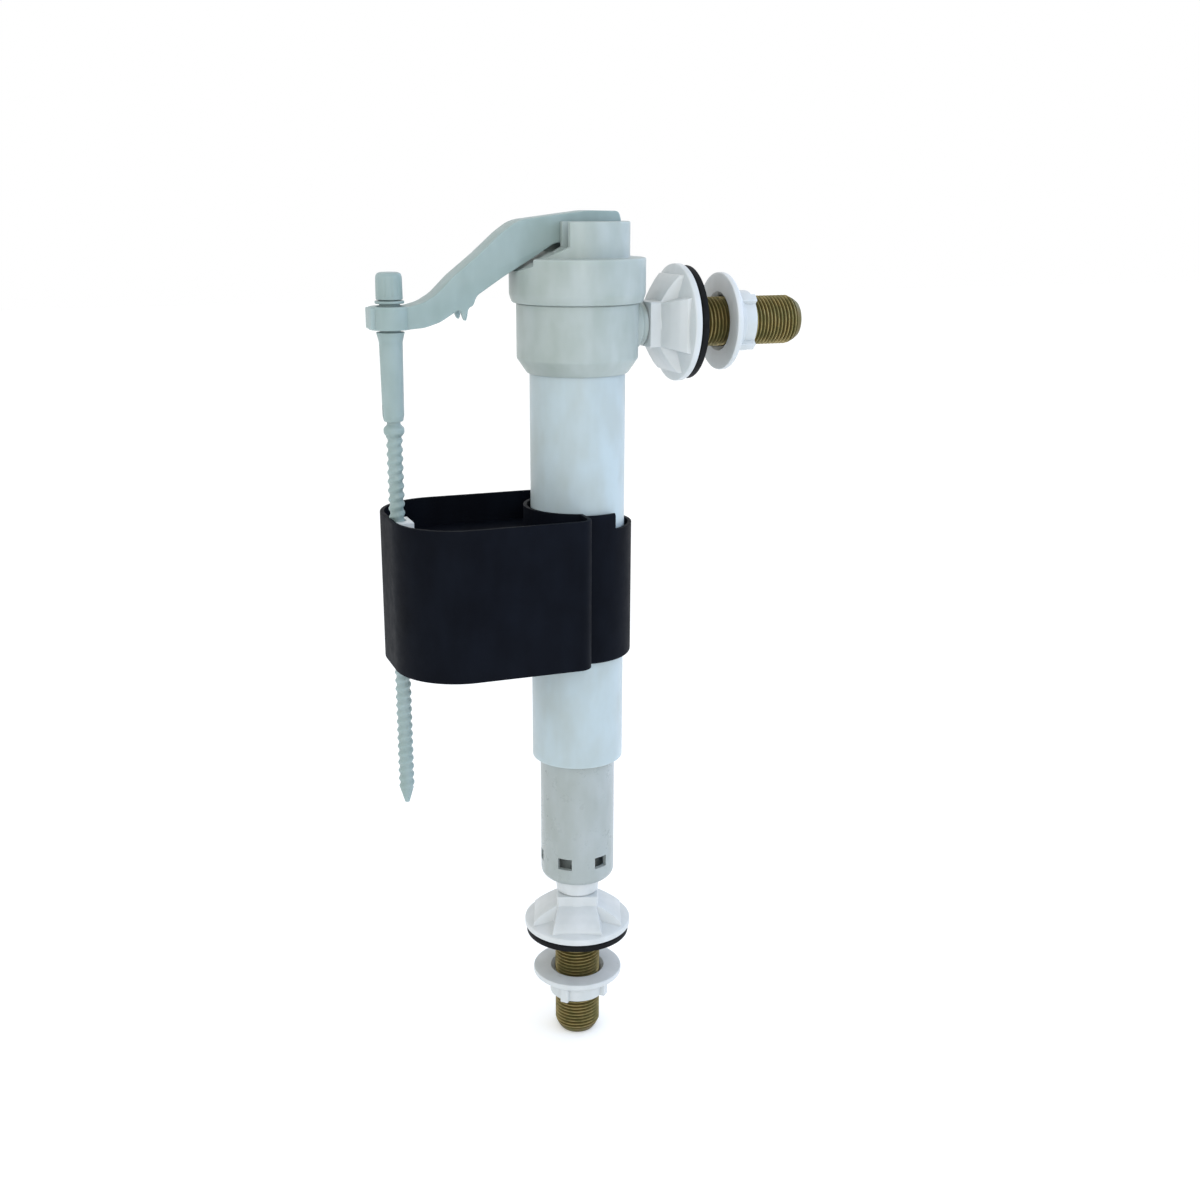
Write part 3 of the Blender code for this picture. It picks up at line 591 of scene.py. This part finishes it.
def dressed(name: str, solid: bmesh.types.BMesh, dressing: Dressing,
            sharp: float = 32.0) -> bpy.types.Object:
    """Make a finished piece from a solid and hang it on its body.

    Args:
        name: The piece's name.
        solid: The solid in millimetres, which is used up.
        dressing: The piece's finish, slot, body and replaced nodes.
        sharp: The angle, in degrees, above which an edge stays sharp.

    Returns:
        The piece.
    """
    bmesh.ops.scale(solid, verts=solid.verts, vec=(MM, MM, MM))
    piece = workpiece(name, solid)
    piece.data.shade_smooth()
    piece.data.set_sharp_from_angle(angle=math.radians(sharp))
    piece.data.materials.append(dressing.finish.material())
    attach(piece, dressing.body)
    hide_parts(*dressing.nodes)
    piece.data.calc_loop_triangles()
    LOG.info("%s: %d triangles on %s", name, len(piece.data.loop_triangles), dressing.body)
    return piece


# Sub-assemblies.

@dataclass
class InletFitting:
    """One threaded inlet: spigot, brass tail, washer and backnut, modelled nose up and then placed."""

    prefix: str
    nut_body: str
    brass: TurnedBrass
    place: Matrix
    nut_face: float
    flange_face: float = 2.8
    flange_radius: float = 19.65
    spigot_length: float = 13.7
    nose_length: float = 10.0
    nose_radius: float = 4.7
    spigot_bore: float = 3.5
    grip_half: float = 7.5
    grip_neck: float = 9.9
    grip_flare: float = 0.04
    grip_rounding: float = 0.35
    grip_turn: float = 0.0
    groove_radius: float = 3.8
    groove_half: float = 1.2
    groove_depth: float = 3.0
    insert_top: float = 6.8
    thread_radius: float = 8.33
    thread_root: float = 7.48
    thread_clearance: float = 0.32
    pitch: float = 1.337
    shank_end: float = -41.0
    shank_bore: float = 5.5
    shank_grip: float = 6.5
    nut_height: float = 10.5
    nut_radius: float = 16.5
    nut_hub: float = 10.3
    washer_radius: float = 19.0
    washer_thickness: float = 2.5

    def grip_rib(self, top: float) -> bmesh.types.BMesh:
        """Return one of the two crossing ribs of the grip, flared at its foot.

        Args:
            top: Height of the rib's square top.

        Returns:
            The closed rib.
        """
        face = self.flange_face
        neck = face + self.grip_neck
        half = [(self.grip_half, top), (self.grip_half, neck), (8.6, face + 9.4), (11.0, face + 8.0),
                (14.0, face + 5.9), (16.2, face + 3.9), (16.4, face + 1.0)]
        outline = half + [(-x, z) for x, z in reversed(half)]
        width = self.grip_half - 0.3
        rib = extruded(outline, -width, width, Plane.SIDE)
        for corner in rib.verts:
            corner.co.y *= 1 + self.grip_flare * max(0.0, neck - corner.co.z)
        bmesh.ops.bevel(rib, geom=rib.edges[:], offset=self.grip_rounding, segments=2, profile=0.5,
                        affect="EDGES", material=-1)
        return cleaned(rib)

    def spigot(self) -> None:
        """Build the flared spigot with its grip, nose and O-ring groove."""
        face, top = self.flange_face, self.flange_face + self.spigot_length
        tip = top + self.nose_length
        groove = tip - self.groove_depth
        groove_low, groove_high = groove - self.groove_half, groove + self.groove_half
        rim, nose = self.flange_radius, self.nose_radius
        outline = softened([
            (self.spigot_bore - 1, face), (rim, face), (rim, face + 2.3), (16.5, face + 3.2),
            (12.0, face + 4.6), (8.6, face + 7.6), (6.8, top - 0.3), (nose, top - 0.3),
            (nose, groove_low), (self.groove_radius, groove_low), (self.groove_radius, groove_high),
            (nose, groove_high), (nose, tip), (self.spigot_bore - 1, tip)], 0.5)
        ribs = [moved(self.grip_rib(top - 0.1 * quarter), turned(self.grip_turn + 90 * quarter))
                for quarter in (0, 1)]
        solid = added(spun(outline), ribs)
        insert = self.thread_radius + self.thread_clearance
        solid = removed(solid, [
            cylinder(insert, face - 1, face + self.insert_top),
            cylinder(self.spigot_bore, face, tip + 1)])
        dressed(self.prefix + "_spigot", moved(solid, self.place), Dressing(
            FITTING_ABS, "fitting_plastic", "column", (self.prefix + "_inlet_spigot",)), sharp=24)

    def tail(self) -> None:
        """Build the brass tail with its real pipe thread, lead-in chamfer and bore."""
        end, top = self.shank_end, self.flange_face + self.shank_grip
        solid = threaded(self.thread_radius, self.thread_root, self.pitch, end, top, 96)
        clear = self.nut_hub + 1.7
        lead = spun([(self.thread_root - 1.4, end - 0.5), (clear, end - 0.5), (clear, end + 5.2),
                     (self.thread_radius + 0.1, end + 3.6), (self.thread_root - 0.2, end + 1.2)])
        solid = removed(solid, [lead, cylinder(self.shank_bore, end - 2, top + 1)])
        mouth = spun([(0, end - 1), (self.shank_bore + 1.4, end - 1), (self.shank_bore - 0.6, end + 1.0),
                      (0, end + 1)])
        solid = removed(solid, [mouth])
        dressed(self.prefix + "_tail", moved(solid, self.place), Dressing(
            self.brass, "brass", "column", (self.prefix + "_inlet_shank",)))

    def washer(self) -> None:
        """Build the sealing washer with its moulded lip."""
        inner, thick = self.thread_radius + self.thread_clearance, self.washer_thickness
        outline = softened([(inner, 0), (self.washer_radius, 0), (self.washer_radius, thick - 0.4),
                            (self.washer_radius - 0.8, thick), (inner, thick)], 0.3)
        dressed(self.prefix + "_washer", moved(spun(outline), self.place), Dressing(
            RUBBER, "rubber", "column", (self.prefix + "_seal_washer",)))

    def backnut(self) -> None:
        """Build the flanged backnut with its countersink, thread and lugs."""
        bore, hub, low, rim = self.thread_radius + 0.9, self.nut_hub, -self.nut_height, self.nut_radius
        solid = spun(softened([
            (bore - 1.5, 0), (rim, 0), (rim, -1.9), (hub + 1.2, -5.2), (hub, -6.4), (hub, low),
            (bore - 1.5, low)], 0.5))
        lugs = [moved(block((hub - 1, hub + 1.6), (-1.5, 1.5), (low, -3.3), 0.3), turned(45 + 90 * number))
                for number in range(4)]
        solid = added(solid, lugs)
        inner = threaded(self.thread_radius + self.thread_clearance + 0.35,
                         self.thread_radius + self.thread_clearance, self.pitch, low - 1, 1.0, 72)
        sink = spun([(0, 0.5), (bore + 1.3, 0.5), (bore - 0.5, -1.3), (0, -1.3)])
        solid = removed(solid, [inner, sink])
        dressed(self.prefix + "_nut", moved(solid, shifted(z=self.nut_face), self.place), Dressing(
            FITTING_ABS, "fitting_plastic", self.nut_body, (self.prefix + "_backnut",)))

    def build(self) -> None:
        """Build every piece of the inlet."""
        self.spigot()
        self.tail()
        self.washer()
        self.backnut()


@dataclass
class Column:
    """The lower outlet tube with its socket and windows, and the drop tube around it."""

    wall: float = 1.7
    drop_wall: float = 2.05
    socket_radius: float = 8.2
    socket_bore: float = 5.5
    socket_top: float = 50.0
    riser_bore: float = 6.35
    foot: float = 23.0
    foot_radius: float = 3.2
    floor: float = 2.4
    window: tuple[float, float, float] = (5.3, 4.3, 32.0)
    windows: int = 6
    window_turn: float = 50.0

    def lower_tube(self) -> None:
        """Build the outlet tube: rounded foot, seat for the riser and windows."""
        high = span("lower_tube")[1]
        outer = high.x
        inner = outer - self.wall
        foot = arc((outer - self.foot_radius, self.foot + self.foot_radius), self.foot_radius, -90, 0, 10)
        socket = [(self.socket_bore, self.foot), (self.socket_radius, self.foot)]
        inside = [(outer, high.z), (inner, high.z), (inner, self.foot + self.floor),
                  (self.socket_radius, self.foot + self.floor), (self.socket_radius, self.socket_top),
                  (self.riser_bore, self.socket_top), (self.riser_bore, 27.2), (self.socket_bore, 27.2)]
        solid = spun(socket + foot + inside)
        width, height, centre = self.window
        ports = [moved(block((inner - 1, outer + 1), (-width / 2, width / 2),
                             (centre - height / 2, centre + height / 2)),
                       turned(360 * number / self.windows + self.window_turn))
                 for number in range(self.windows)]
        dressed("outlet_tube", removed(solid, ports), Dressing(
            TUBE_SHADED_POLYPROPYLENE, "column_plastic", "column", ("lower_tube",)))

    def socket_ring(self) -> None:
        """Build the white ring at the tube's foot that the inlet's nose goes into."""
        low = span("lower_tube")[0].z
        top = self.foot - 0.02
        outline = softened([(self.socket_bore, low), (self.socket_radius - 0.5, low),
                            (self.socket_radius, top), (self.socket_bore, top)], 0.3)
        dressed("socket_ring", spun(outline), Dressing(
            FITTING_ABS, "fitting_plastic", "column", ("lower_tube",)))

    def drop_tube(self) -> None:
        """Build the drop tube with its cut lower edge."""
        low, high = span("drop_tube")
        inner = high.x - self.drop_wall
        outline = softened([(inner, low.z), (high.x, low.z), (high.x, high.z), (inner, high.z)], 0.25)
        dressed("drop_pipe", spun(outline, 160), Dressing(
            BODY_POLYPROPYLENE, "column_plastic", "column", ("drop_tube",)))

    def build(self) -> None:
        """Build both tubes."""
        self.lower_tube()
        self.socket_ring()
        self.drop_tube()


@dataclass
class ValveHead:
    """The valve body with its side boss, and the cap with the ears that carry the lever."""

    body_radius: float = 20.4
    shoulder: float = 213.1
    joint_height: float = 231.0
    side_height: float = SIDE_INLET_HEIGHT
    side_radius: float = 7.3
    side_end: float = 23.0
    cap_radius: float = 22.7
    deck_bottom: float = 241.5
    deck_top: float = 245.7
    neck_radius: float = 17.4
    neck_wall: float = 1.8
    neck_floor: float = 247.5
    slot_half: float = 6.0
    ear: float = 2.2
    ear_start: float = -8.0
    notch_half: float = 12.0
    notch_slope: float = 0.535
    relief_start: float = 249.4
    relief_bend: float = -14.9
    relief_top: float = 262.0

    def body(self) -> None:
        """Build the body: tapered skirt, plain drum, thread-band top and the side inlet's boss."""
        low, high = span("valve_body")
        outer = self.body_radius
        outline = softened([
            (16.45, low.z), (17.0, low.z), (outer, self.shoulder), (outer, self.joint_height),
            (20.1, self.joint_height), (20.1, high.z), (17.4, high.z), (17.4, 236.0), (15.5, 236.0),
            (15.5, 231.3), (0, 231.3), (0, 212.0), (8.0, 212.0), (8.0, 227.8), (14.6, 227.8),
            (14.6, 216.0), (16.45, 216.0)], 0.5)
        side = moved(spun(softened([(0, 5.5), (self.side_radius, 5.5), (self.side_radius, self.side_end),
                                    (0, self.side_end)], 0.5), 96),
                     turned(90, "Y"), shifted(z=self.side_height))
        fillet = moved(spun([(0, 18.0), (self.side_radius + 1.0, 18.0), (self.side_radius + 0.9, 20.6),
                             (self.side_radius + 0.2, 21.4), (0, 21.4)], 96),
                       turned(90, "Y"), shifted(z=self.side_height - 0.1))
        solid = added(spun(outline, 160), [side, fillet])
        bore = spun([(0, 210.0), (6.35, 210.0), (6.35, 220.4), (4.0, 220.4), (4.0, 228.2), (5.9, 228.2),
                     (5.9, 232.3), (0, 232.3)], 64)
        nose = moved(cylinder(5.5, 12.3, self.side_end + 1), turned(90, "Y"), shifted(z=self.side_height))
        solid = removed(solid, [bore, nose])
        dressed("body_shell", solid, Dressing(
            HEAD_SHADED_POLYPROPYLENE, "column_plastic", "column", ("valve_body",)))

    def relief(self, start: float, inner_end: float, limit: float) -> list[Point]:
        """Return the side view of the space cleared for the lever's underside.

        Args:
            start: Where the space starts along X.
            inner_end: Where it ends along X.
            limit: The lowest that its sloping floor goes.

        Returns:
            The side view's corners.
        """
        places = (start, self.relief_bend, inner_end)
        floors = [max(limit, self.relief_start - self.notch_slope * (self.ear_start - x)) for x in places]
        return [(start, self.relief_top), *zip(places, floors), (inner_end, self.relief_top)]

    def cap(self) -> None:
        """Build the cap: skirt, deck, hollow neck, ears and the relief under the lever."""
        low, high = span("head_cap")
        inner = self.neck_radius - self.neck_wall
        rim = self.cap_radius
        solid = spun(softened([
            (0, self.deck_bottom), (15.0, self.deck_bottom), (15.0, 238.6), (17.1, 238.6),
            (17.1, self.deck_bottom), (20.5, self.deck_bottom), (20.5, low.z), (rim - 0.9, low.z),
            (rim, low.z + 2.8), (rim, self.deck_top), (self.neck_radius, self.deck_top),
            (self.neck_radius, high.z), (inner, high.z), (inner, self.neck_floor), (0, self.neck_floor)],
            0.6), 160)
        near, far = self.slot_half, self.slot_half + self.ear
        ears = [block((-14.4, 14.4), width, (self.neck_floor - 1, high.z - 0.02))
                for width in ((-far, -near), (near, far))]
        solid = added(solid, ears)
        outer = self.neck_radius + 1
        solid = removed(solid, [
            extruded(self.relief(self.ear_start, -self.neck_radius - 0.02, self.deck_top), -outer, outer,
                     Plane.SIDE),
            extruded(self.relief(-14.6, -rim - 2, 0.0), -self.notch_half, self.notch_half, Plane.SIDE),
            moved(cylinder(1.55, -9, 9, 32), turned(90, "X"), shifted(-2.0, 0, 254.3)),
            moved(cylinder(2.3, 243.0, self.neck_floor + 1, 32), shifted(x=8.0))])
        dressed("cap_shell", solid, Dressing(
            HEAD_SHADED_POLYPROPYLENE, "column_plastic", "column", ("head_cap",)))

    def build(self) -> None:
        """Build the body and the cap."""
        self.body()
        self.cap()


@dataclass
class Lever:
    """The lever arm: an inverted channel with a ring for the rod."""

    half_width: float = 5.2
    wall: float = 1.6
    pivot: tuple[float, float] = (-2.0, 254.3)
    ring_x: float = ROD_X
    ring_radius: float = 6.9
    ring_bore: float = 4.25
    ring_low: float = 224.15
    ring_high: float = 231.45

    def outline(self) -> list[Point]:
        """Return the lever's side view."""
        top = [(13.5, 257.4), (12.6, 260.4), (2.0, 260.6), (-9.5, 259.2), (-20.5, 257.8), (-23.2, 256.8),
               (-27.4, 253.9), (-35.5, 246.9), (-43.6, 240.6), (-49.3, 235.1), (-53.5, 232.6), (-58.5, 231.3)]
        end = [(-62.0, 231.3), (-62.0, 224.3)]
        bottom = [(-58.5, 224.3), (-53.4, 224.7), (-48.3, 226.3), (-41.7, 230.3), (-40.5, 226.6),
                  (-39.6, 226.6), (-38.9, 230.6), (-37.2, 231.2), (-36.2, 234.2), (-26.9, 240.2),
                  (-16.4, 246.2), (-10.0, 250.2), (-7.4, 250.7), (13.5, 250.7)]
        return softened(top + end + bottom, 1.3, 4)

    def hollow(self) -> list[Point]:
        """Return the side view of the channel under the lever's top."""
        return softened([(12.0, 245.0), (12.0, 258.8), (2.0, 258.9), (-9.5, 257.5), (-20.0, 256.1),
                         (-26.2, 252.2), (-34.4, 245.1), (-42.4, 238.9), (-48.3, 233.2), (-52.5, 230.8),
                         (-52.5, 220.0), (-20.0, 230.0)], 1.0)

    def across(self) -> tuple[Matrix, Matrix]:
        """Return the matrices that lay a standing shape along the pivot."""
        return turned(90, "X"), shifted(self.pivot[0], 0, self.pivot[1])

    def build(self) -> None:
        """Build the lever with its ring, pivot boss and seat."""
        solid = extruded(self.outline(), -self.half_width, self.half_width, Plane.SIDE, edge=0.35)
        inner = self.half_width - self.wall
        solid = removed(solid, [extruded(self.hollow(), -inner, inner, Plane.SIDE)])
        ring = spun(softened([(0, self.ring_low), (self.ring_radius, self.ring_low),
                              (self.ring_radius, self.ring_high), (0, self.ring_high)], 0.5), 96)
        stub = block((self.ring_x - self.ring_radius - 0.2, self.ring_x), (-4.0, 4.0),
                     (self.ring_low + 0.3, self.ring_high - 0.3), 0.4)
        boss = moved(cylinder(3.1, -inner - 0.5, inner + 0.5), *self.across())
        seat = moved(cylinder(3.2, 253.2, 259.2), shifted(x=8.0))
        solid = added(solid, [moved(ring, shifted(x=self.ring_x)), stub, boss, seat])
        solid = removed(solid, [
            moved(cylinder(self.ring_bore, self.ring_low - 1, self.ring_high + 1), shifted(x=self.ring_x)),
            moved(cylinder(1.8, -9, 9, 48), *self.across())])
        dressed("lever", solid, Dressing(LEVER_ACETAL, "lever_plastic", "lever", ("lever_arm",)))


@dataclass
class Adjuster:
    """The slotted sleeve in the lever's ring, the adjusting screw through it and its knob."""

    x: float = ROD_X
    sleeve_top: float = 232.25
    shoulder: float = 223.35
    pitch: float = 3.0
    crest: float = 2.7
    root: float = 2.2

    def on_rod(self, solid: bmesh.types.BMesh) -> bmesh.types.BMesh:
        """Move a solid from the Z axis to the rod's axis."""
        return moved(solid, shifted(x=self.x))

    def sleeve(self) -> None:
        """Build the sleeve with the slot through its foot."""
        low, high = span("rod_sleeve")
        outline = softened([
            (2.5, low.z), (3.1, low.z), (3.5, low.z + 1.8), (3.8, self.shoulder - 3.2), (4.6, self.shoulder),
            (3.3, self.shoulder), (3.3, self.sleeve_top), (4.7, self.sleeve_top), (4.7, high.z),
            (2.5, high.z)], 0.3)
        slot = block((-5, 5), (-0.7, 0.7), (low.z - 1, low.z + 5.5))
        dressed("guide_sleeve", self.on_rod(removed(spun(outline, 64), [slot])), Dressing(
            LEVER_ACETAL, "lever_plastic", "rod_guide", ("rod_sleeve",)))

    def screw(self) -> None:
        """Build the screw: pointed tip, coarse thread, bead and plain shank."""
        low, high = span("threaded_rod")
        top = 190.0
        solid = threaded(self.crest, self.root, self.pitch, low.z, top, 48)
        tip = spun([(0.5, low.z - 1), (4.0, low.z - 1), (4.0, low.z + 6.0), (self.crest, low.z + 6.5)], 48)
        solid = removed(solid, [tip])
        shank = spun(softened([(0, top - 0.4), (2.3, top - 0.4), (3.4, top + 1.0), (3.4, top + 2.6),
                               (2.2, top + 3.8), (2.2, 233.2), (2.0, 233.4), (2.0, high.z), (0, high.z)],
                              0.4), 48)
        dressed("adjusting_screw", self.on_rod(added(solid, [shank])), Dressing(
            LEVER_ACETAL, "lever_plastic", "adjuster", ("threaded_rod",)), sharp=50)

    def knob(self) -> None:
        """Build the knob with its domed top and shallow grip flutes."""
        low, high = span("adjuster_knob")
        radius = (high.x - low.x) / 2
        solid = spun(softened([(2.3, low.z), (radius, low.z), (radius - 0.1, high.z - 1.4),
                               (radius - 0.5, high.z - 0.4), (radius - 1.5, high.z), (0, high.z),
                               (0, 240.3), (2.3, 240.3)], 0.4), 96)
        flutes = [moved(cylinder(0.6, low.z + 1.2, high.z + 1, 12), shifted(x=radius + 0.42),
                        turned(30 * number)) for number in range(12)]
        dressed("knob", self.on_rod(removed(solid, flutes)), Dressing(
            LEVER_ACETAL, "lever_plastic", "adjuster", ("adjuster_knob",)))

    def build(self) -> None:
        """Build the sleeve, the screw and the knob."""
        self.sleeve()
        self.screw()
        self.knob()


@dataclass
class Float:
    """The black float cup with its collar round the column, and the white clip on its deck."""

    bottom: float = 112.0
    half_width: float = 29.0
    end: float = -67.3
    end_radius: float = 22.0
    shoulder: float = -4.0
    shoulder_radius: float = 5.0
    wall: float = 1.4
    deck_top: float = 153.1
    deck: float = 1.5
    collar_radius: float = 18.7
    collar_bore: float = 17.5
    collar_top: float = 162.4
    step: float = 157.0
    step_x: float = 7.6
    rod_x: float = ROD_X

    def plan(self, inset: float) -> list[Point]:
        """Return the plan of the outer wall, moved inwards by an inset."""
        end = (self.end + self.end_radius, self.half_width - self.end_radius)
        shoulder = (self.shoulder - self.shoulder_radius, self.half_width - self.shoulder_radius)
        near = arc(end, self.end_radius - inset, 180, 90, 24)
        near += arc(shoulder, self.shoulder_radius - inset, 90, 0, 14)
        return near + [(x, -y) for x, y in reversed(near)]

    def hollow(self, low: float, high: float) -> bmesh.types.BMesh:
        """Return the space between the wall, the collar and the tube round the rod."""
        return removed(extruded(self.plan(self.wall), low, high), [
            cylinder(self.collar_radius, low - 1, high + 1, 160),
            moved(cylinder(4.2, low - 1, high + 1), shifted(x=self.rod_x))])

    def collar(self, low: float) -> bmesh.types.BMesh:
        """Return the collar's solid, with its rounded lower edge."""
        return spun(softened([(0, low), (self.collar_radius, low), (self.collar_radius, self.collar_top),
                              (0, self.collar_top)], 1.2, 5), 160)

    def cup(self) -> None:
        """Build the float: wall, deck, collar, rod passage and the notches in the collar."""
        low, high = span("float_cup")
        solid = extruded(self.plan(0.0), self.bottom, high.z, edge=0.3)
        solid = added(solid, [self.collar(low.z)])
        reach = self.collar_radius + 2
        solid = removed(solid, [
            self.hollow(self.bottom - 1, self.deck_top - self.deck), self.hollow(self.deck_top, high.z + 1),
            block((self.step_x, reach), (-reach, reach), (self.step, self.collar_top + 1)),
            cylinder(self.collar_bore, low.z - 1, high.z + 1, 160),
            moved(cylinder(3.1, low.z - 1, high.z + 1), shifted(x=self.rod_x)),
            block((self.rod_x - 2.4, self.rod_x + 8.0), (-6.3, 6.3), (self.deck_top, high.z + 1))])
        dressed("float_shell", solid, Dressing(
            FLOAT_POLYPROPYLENE, "float_plastic", "float", ("float_cup",)))

    def clip(self) -> None:
        """Build the clip that engages the screw."""
        low, high = span("float_clip")
        solid = removed(block((low.x, high.x), (low.y, high.y), (low.z, high.z), 0.4), [
            moved(cylinder(2.95, low.z - 1, high.z + 1), shifted(x=self.rod_x))])
        dressed("screw_clip", solid, Dressing(FITTING_ABS, "fitting_plastic", "float", ("float_clip",)))

    def build(self) -> None:
        """Build the float and its clip."""
        self.cup()
        self.clip()


@dataclass
class Studio:
    """A pale table, soft lights and the camera."""

    distance: float = 0.4834
    camera_height: float = 0.2639
    azimuth: float = -20.0
    pitch: float = 16.35
    lens: float = 42.7
    shift: tuple[float, float] = (0.0189, 0.0143)
    lamp_aim: float = 0.2

    def table(self, height: float) -> None:
        """Lay a large sheet of white paper at a height."""
        sheet = bmesh.new()
        bmesh.ops.create_grid(sheet, x_segments=2, y_segments=2, size=4.0, matrix=shifted(z=height))
        floor = workpiece("table", sheet)
        floor.data.materials.append(PAPER.material())

    def lamp(self, name: str, azimuth: float, elevation: float, reach: float, size: float, power: float,
             tint: str) -> None:
        """Hang a square soft light that looks at the valve's upper half.

        Args:
            name: The light's name.
            azimuth: Where it stands round the valve, in degrees from -Y towards +X.
            elevation: How high it stands, in degrees.
            reach: How far it stands from the valve's upper half, in metres.
            size: Length of its side, in metres.
            power: Its power, in watts.
            tint: Its colour.
        """
        middle = Vector((0.0, 0.0, self.lamp_aim))
        turn, rise = math.radians(azimuth), math.radians(elevation)
        way = Vector((math.sin(turn) * math.cos(rise), -math.cos(turn) * math.cos(rise), math.sin(rise)))
        light = bpy.data.lights.new(name, "AREA")
        light.size, light.energy = size, power
        light.color = srgb(tint)[:3]
        lamp = bpy.data.objects.new(name, light)
        lamp.location = middle + way * reach
        lamp.rotation_euler = way.to_track_quat("Z", "Y").to_euler()
        bpy.context.scene.collection.objects.link(lamp)

    def surroundings(self) -> None:
        """Give the room an even pale light."""
        world = bpy.data.worlds.new("room")
        world.use_nodes = True
        background = world.node_tree.nodes["Background"]
        background.inputs["Color"].default_value = srgb("#ffffff")
        background.inputs["Strength"].default_value = 1.0
        bpy.context.scene.world = world

    def camera(self) -> None:
        """Set the camera."""
        lens = bpy.data.cameras.new("camera")
        lens.lens, lens.sensor_width = self.lens, 36.0
        lens.shift_x, lens.shift_y = self.shift
        lens.clip_start = 0.01
        camera = bpy.data.objects.new("camera", lens)
        turn = math.radians(self.azimuth)
        camera.location = (self.distance * math.sin(turn), -self.distance * math.cos(turn),
                           self.camera_height)
        camera.rotation_euler = (math.radians(90 - self.pitch), 0.0, turn)
        bpy.context.scene.collection.objects.link(camera)
        bpy.context.scene.camera = camera

    def build(self) -> None:
        """Set the table, the lights and the camera."""
        self.table(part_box("bottom_inlet_shank")[0].z - 0.2 * MM)
        self.lamp("key", 50, 20, 0.5, 0.4, 0.85, "#a2c8ff")
        self.lamp("fill", -60, 12, 0.9, 0.8, 0.8, "#f6fbff")
        self.lamp("front", -12, 14, 0.55, 0.12, 0.45, "#fffefa")
        self.lamp("rim", 110, 25, 0.5, 0.3, 0.4, "#a8caff")
        self.surroundings()
        self.camera()
        bpy.context.scene.view_settings.view_transform = "Standard"


def clear_scene() -> None:
    """Remove the objects that the scene starts with."""
    for thing in list(bpy.data.objects):
        bpy.data.objects.remove(thing, do_unlink=True)


def dress_frame(frame: dict) -> None:
    """Give every frame node the finish of its slot, for those that stay in view.
    """
    for part in frame["record"]["subparts"]:
        node = frame["nodes"][part["node"]]
        node.data.materials.clear()
        node.data.materials.append(SLOT_FINISHES[part["material_slot"]].material())


def main() -> None:
    """Build the valve's looks and its studio."""
    logging.basicConfig(level=logging.INFO, format="%(name)s: %(message)s")
    clear_scene()
    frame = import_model()
    dress_frame(frame)
    side_face = span("side_seal_washer")[1].x
    side_place = Matrix.Translation((side_face, 0, SIDE_INLET_HEIGHT)) @ turned(-90, "Y")
    fittings = [
        InletFitting("bottom", "bottom_nut", TurnedBrass("brass_tail_bottom"), Matrix.Identity(4),
                     span("bottom_backnut")[1].z, grip_turn=-20.0),
        InletFitting("side", "side_nut", TurnedBrass("brass_tail_side", SIDE_INLET_HEIGHT, True), side_place,
                     side_face - span("side_backnut")[0].x)]
    for assembly in [*fittings, Column(), ValveHead(), Lever(), Adjuster(), Float(), Studio()]:
        LOG.info("building %s", type(assembly).__name__)
        assembly.build()


if __name__ == "__main__":
    main()
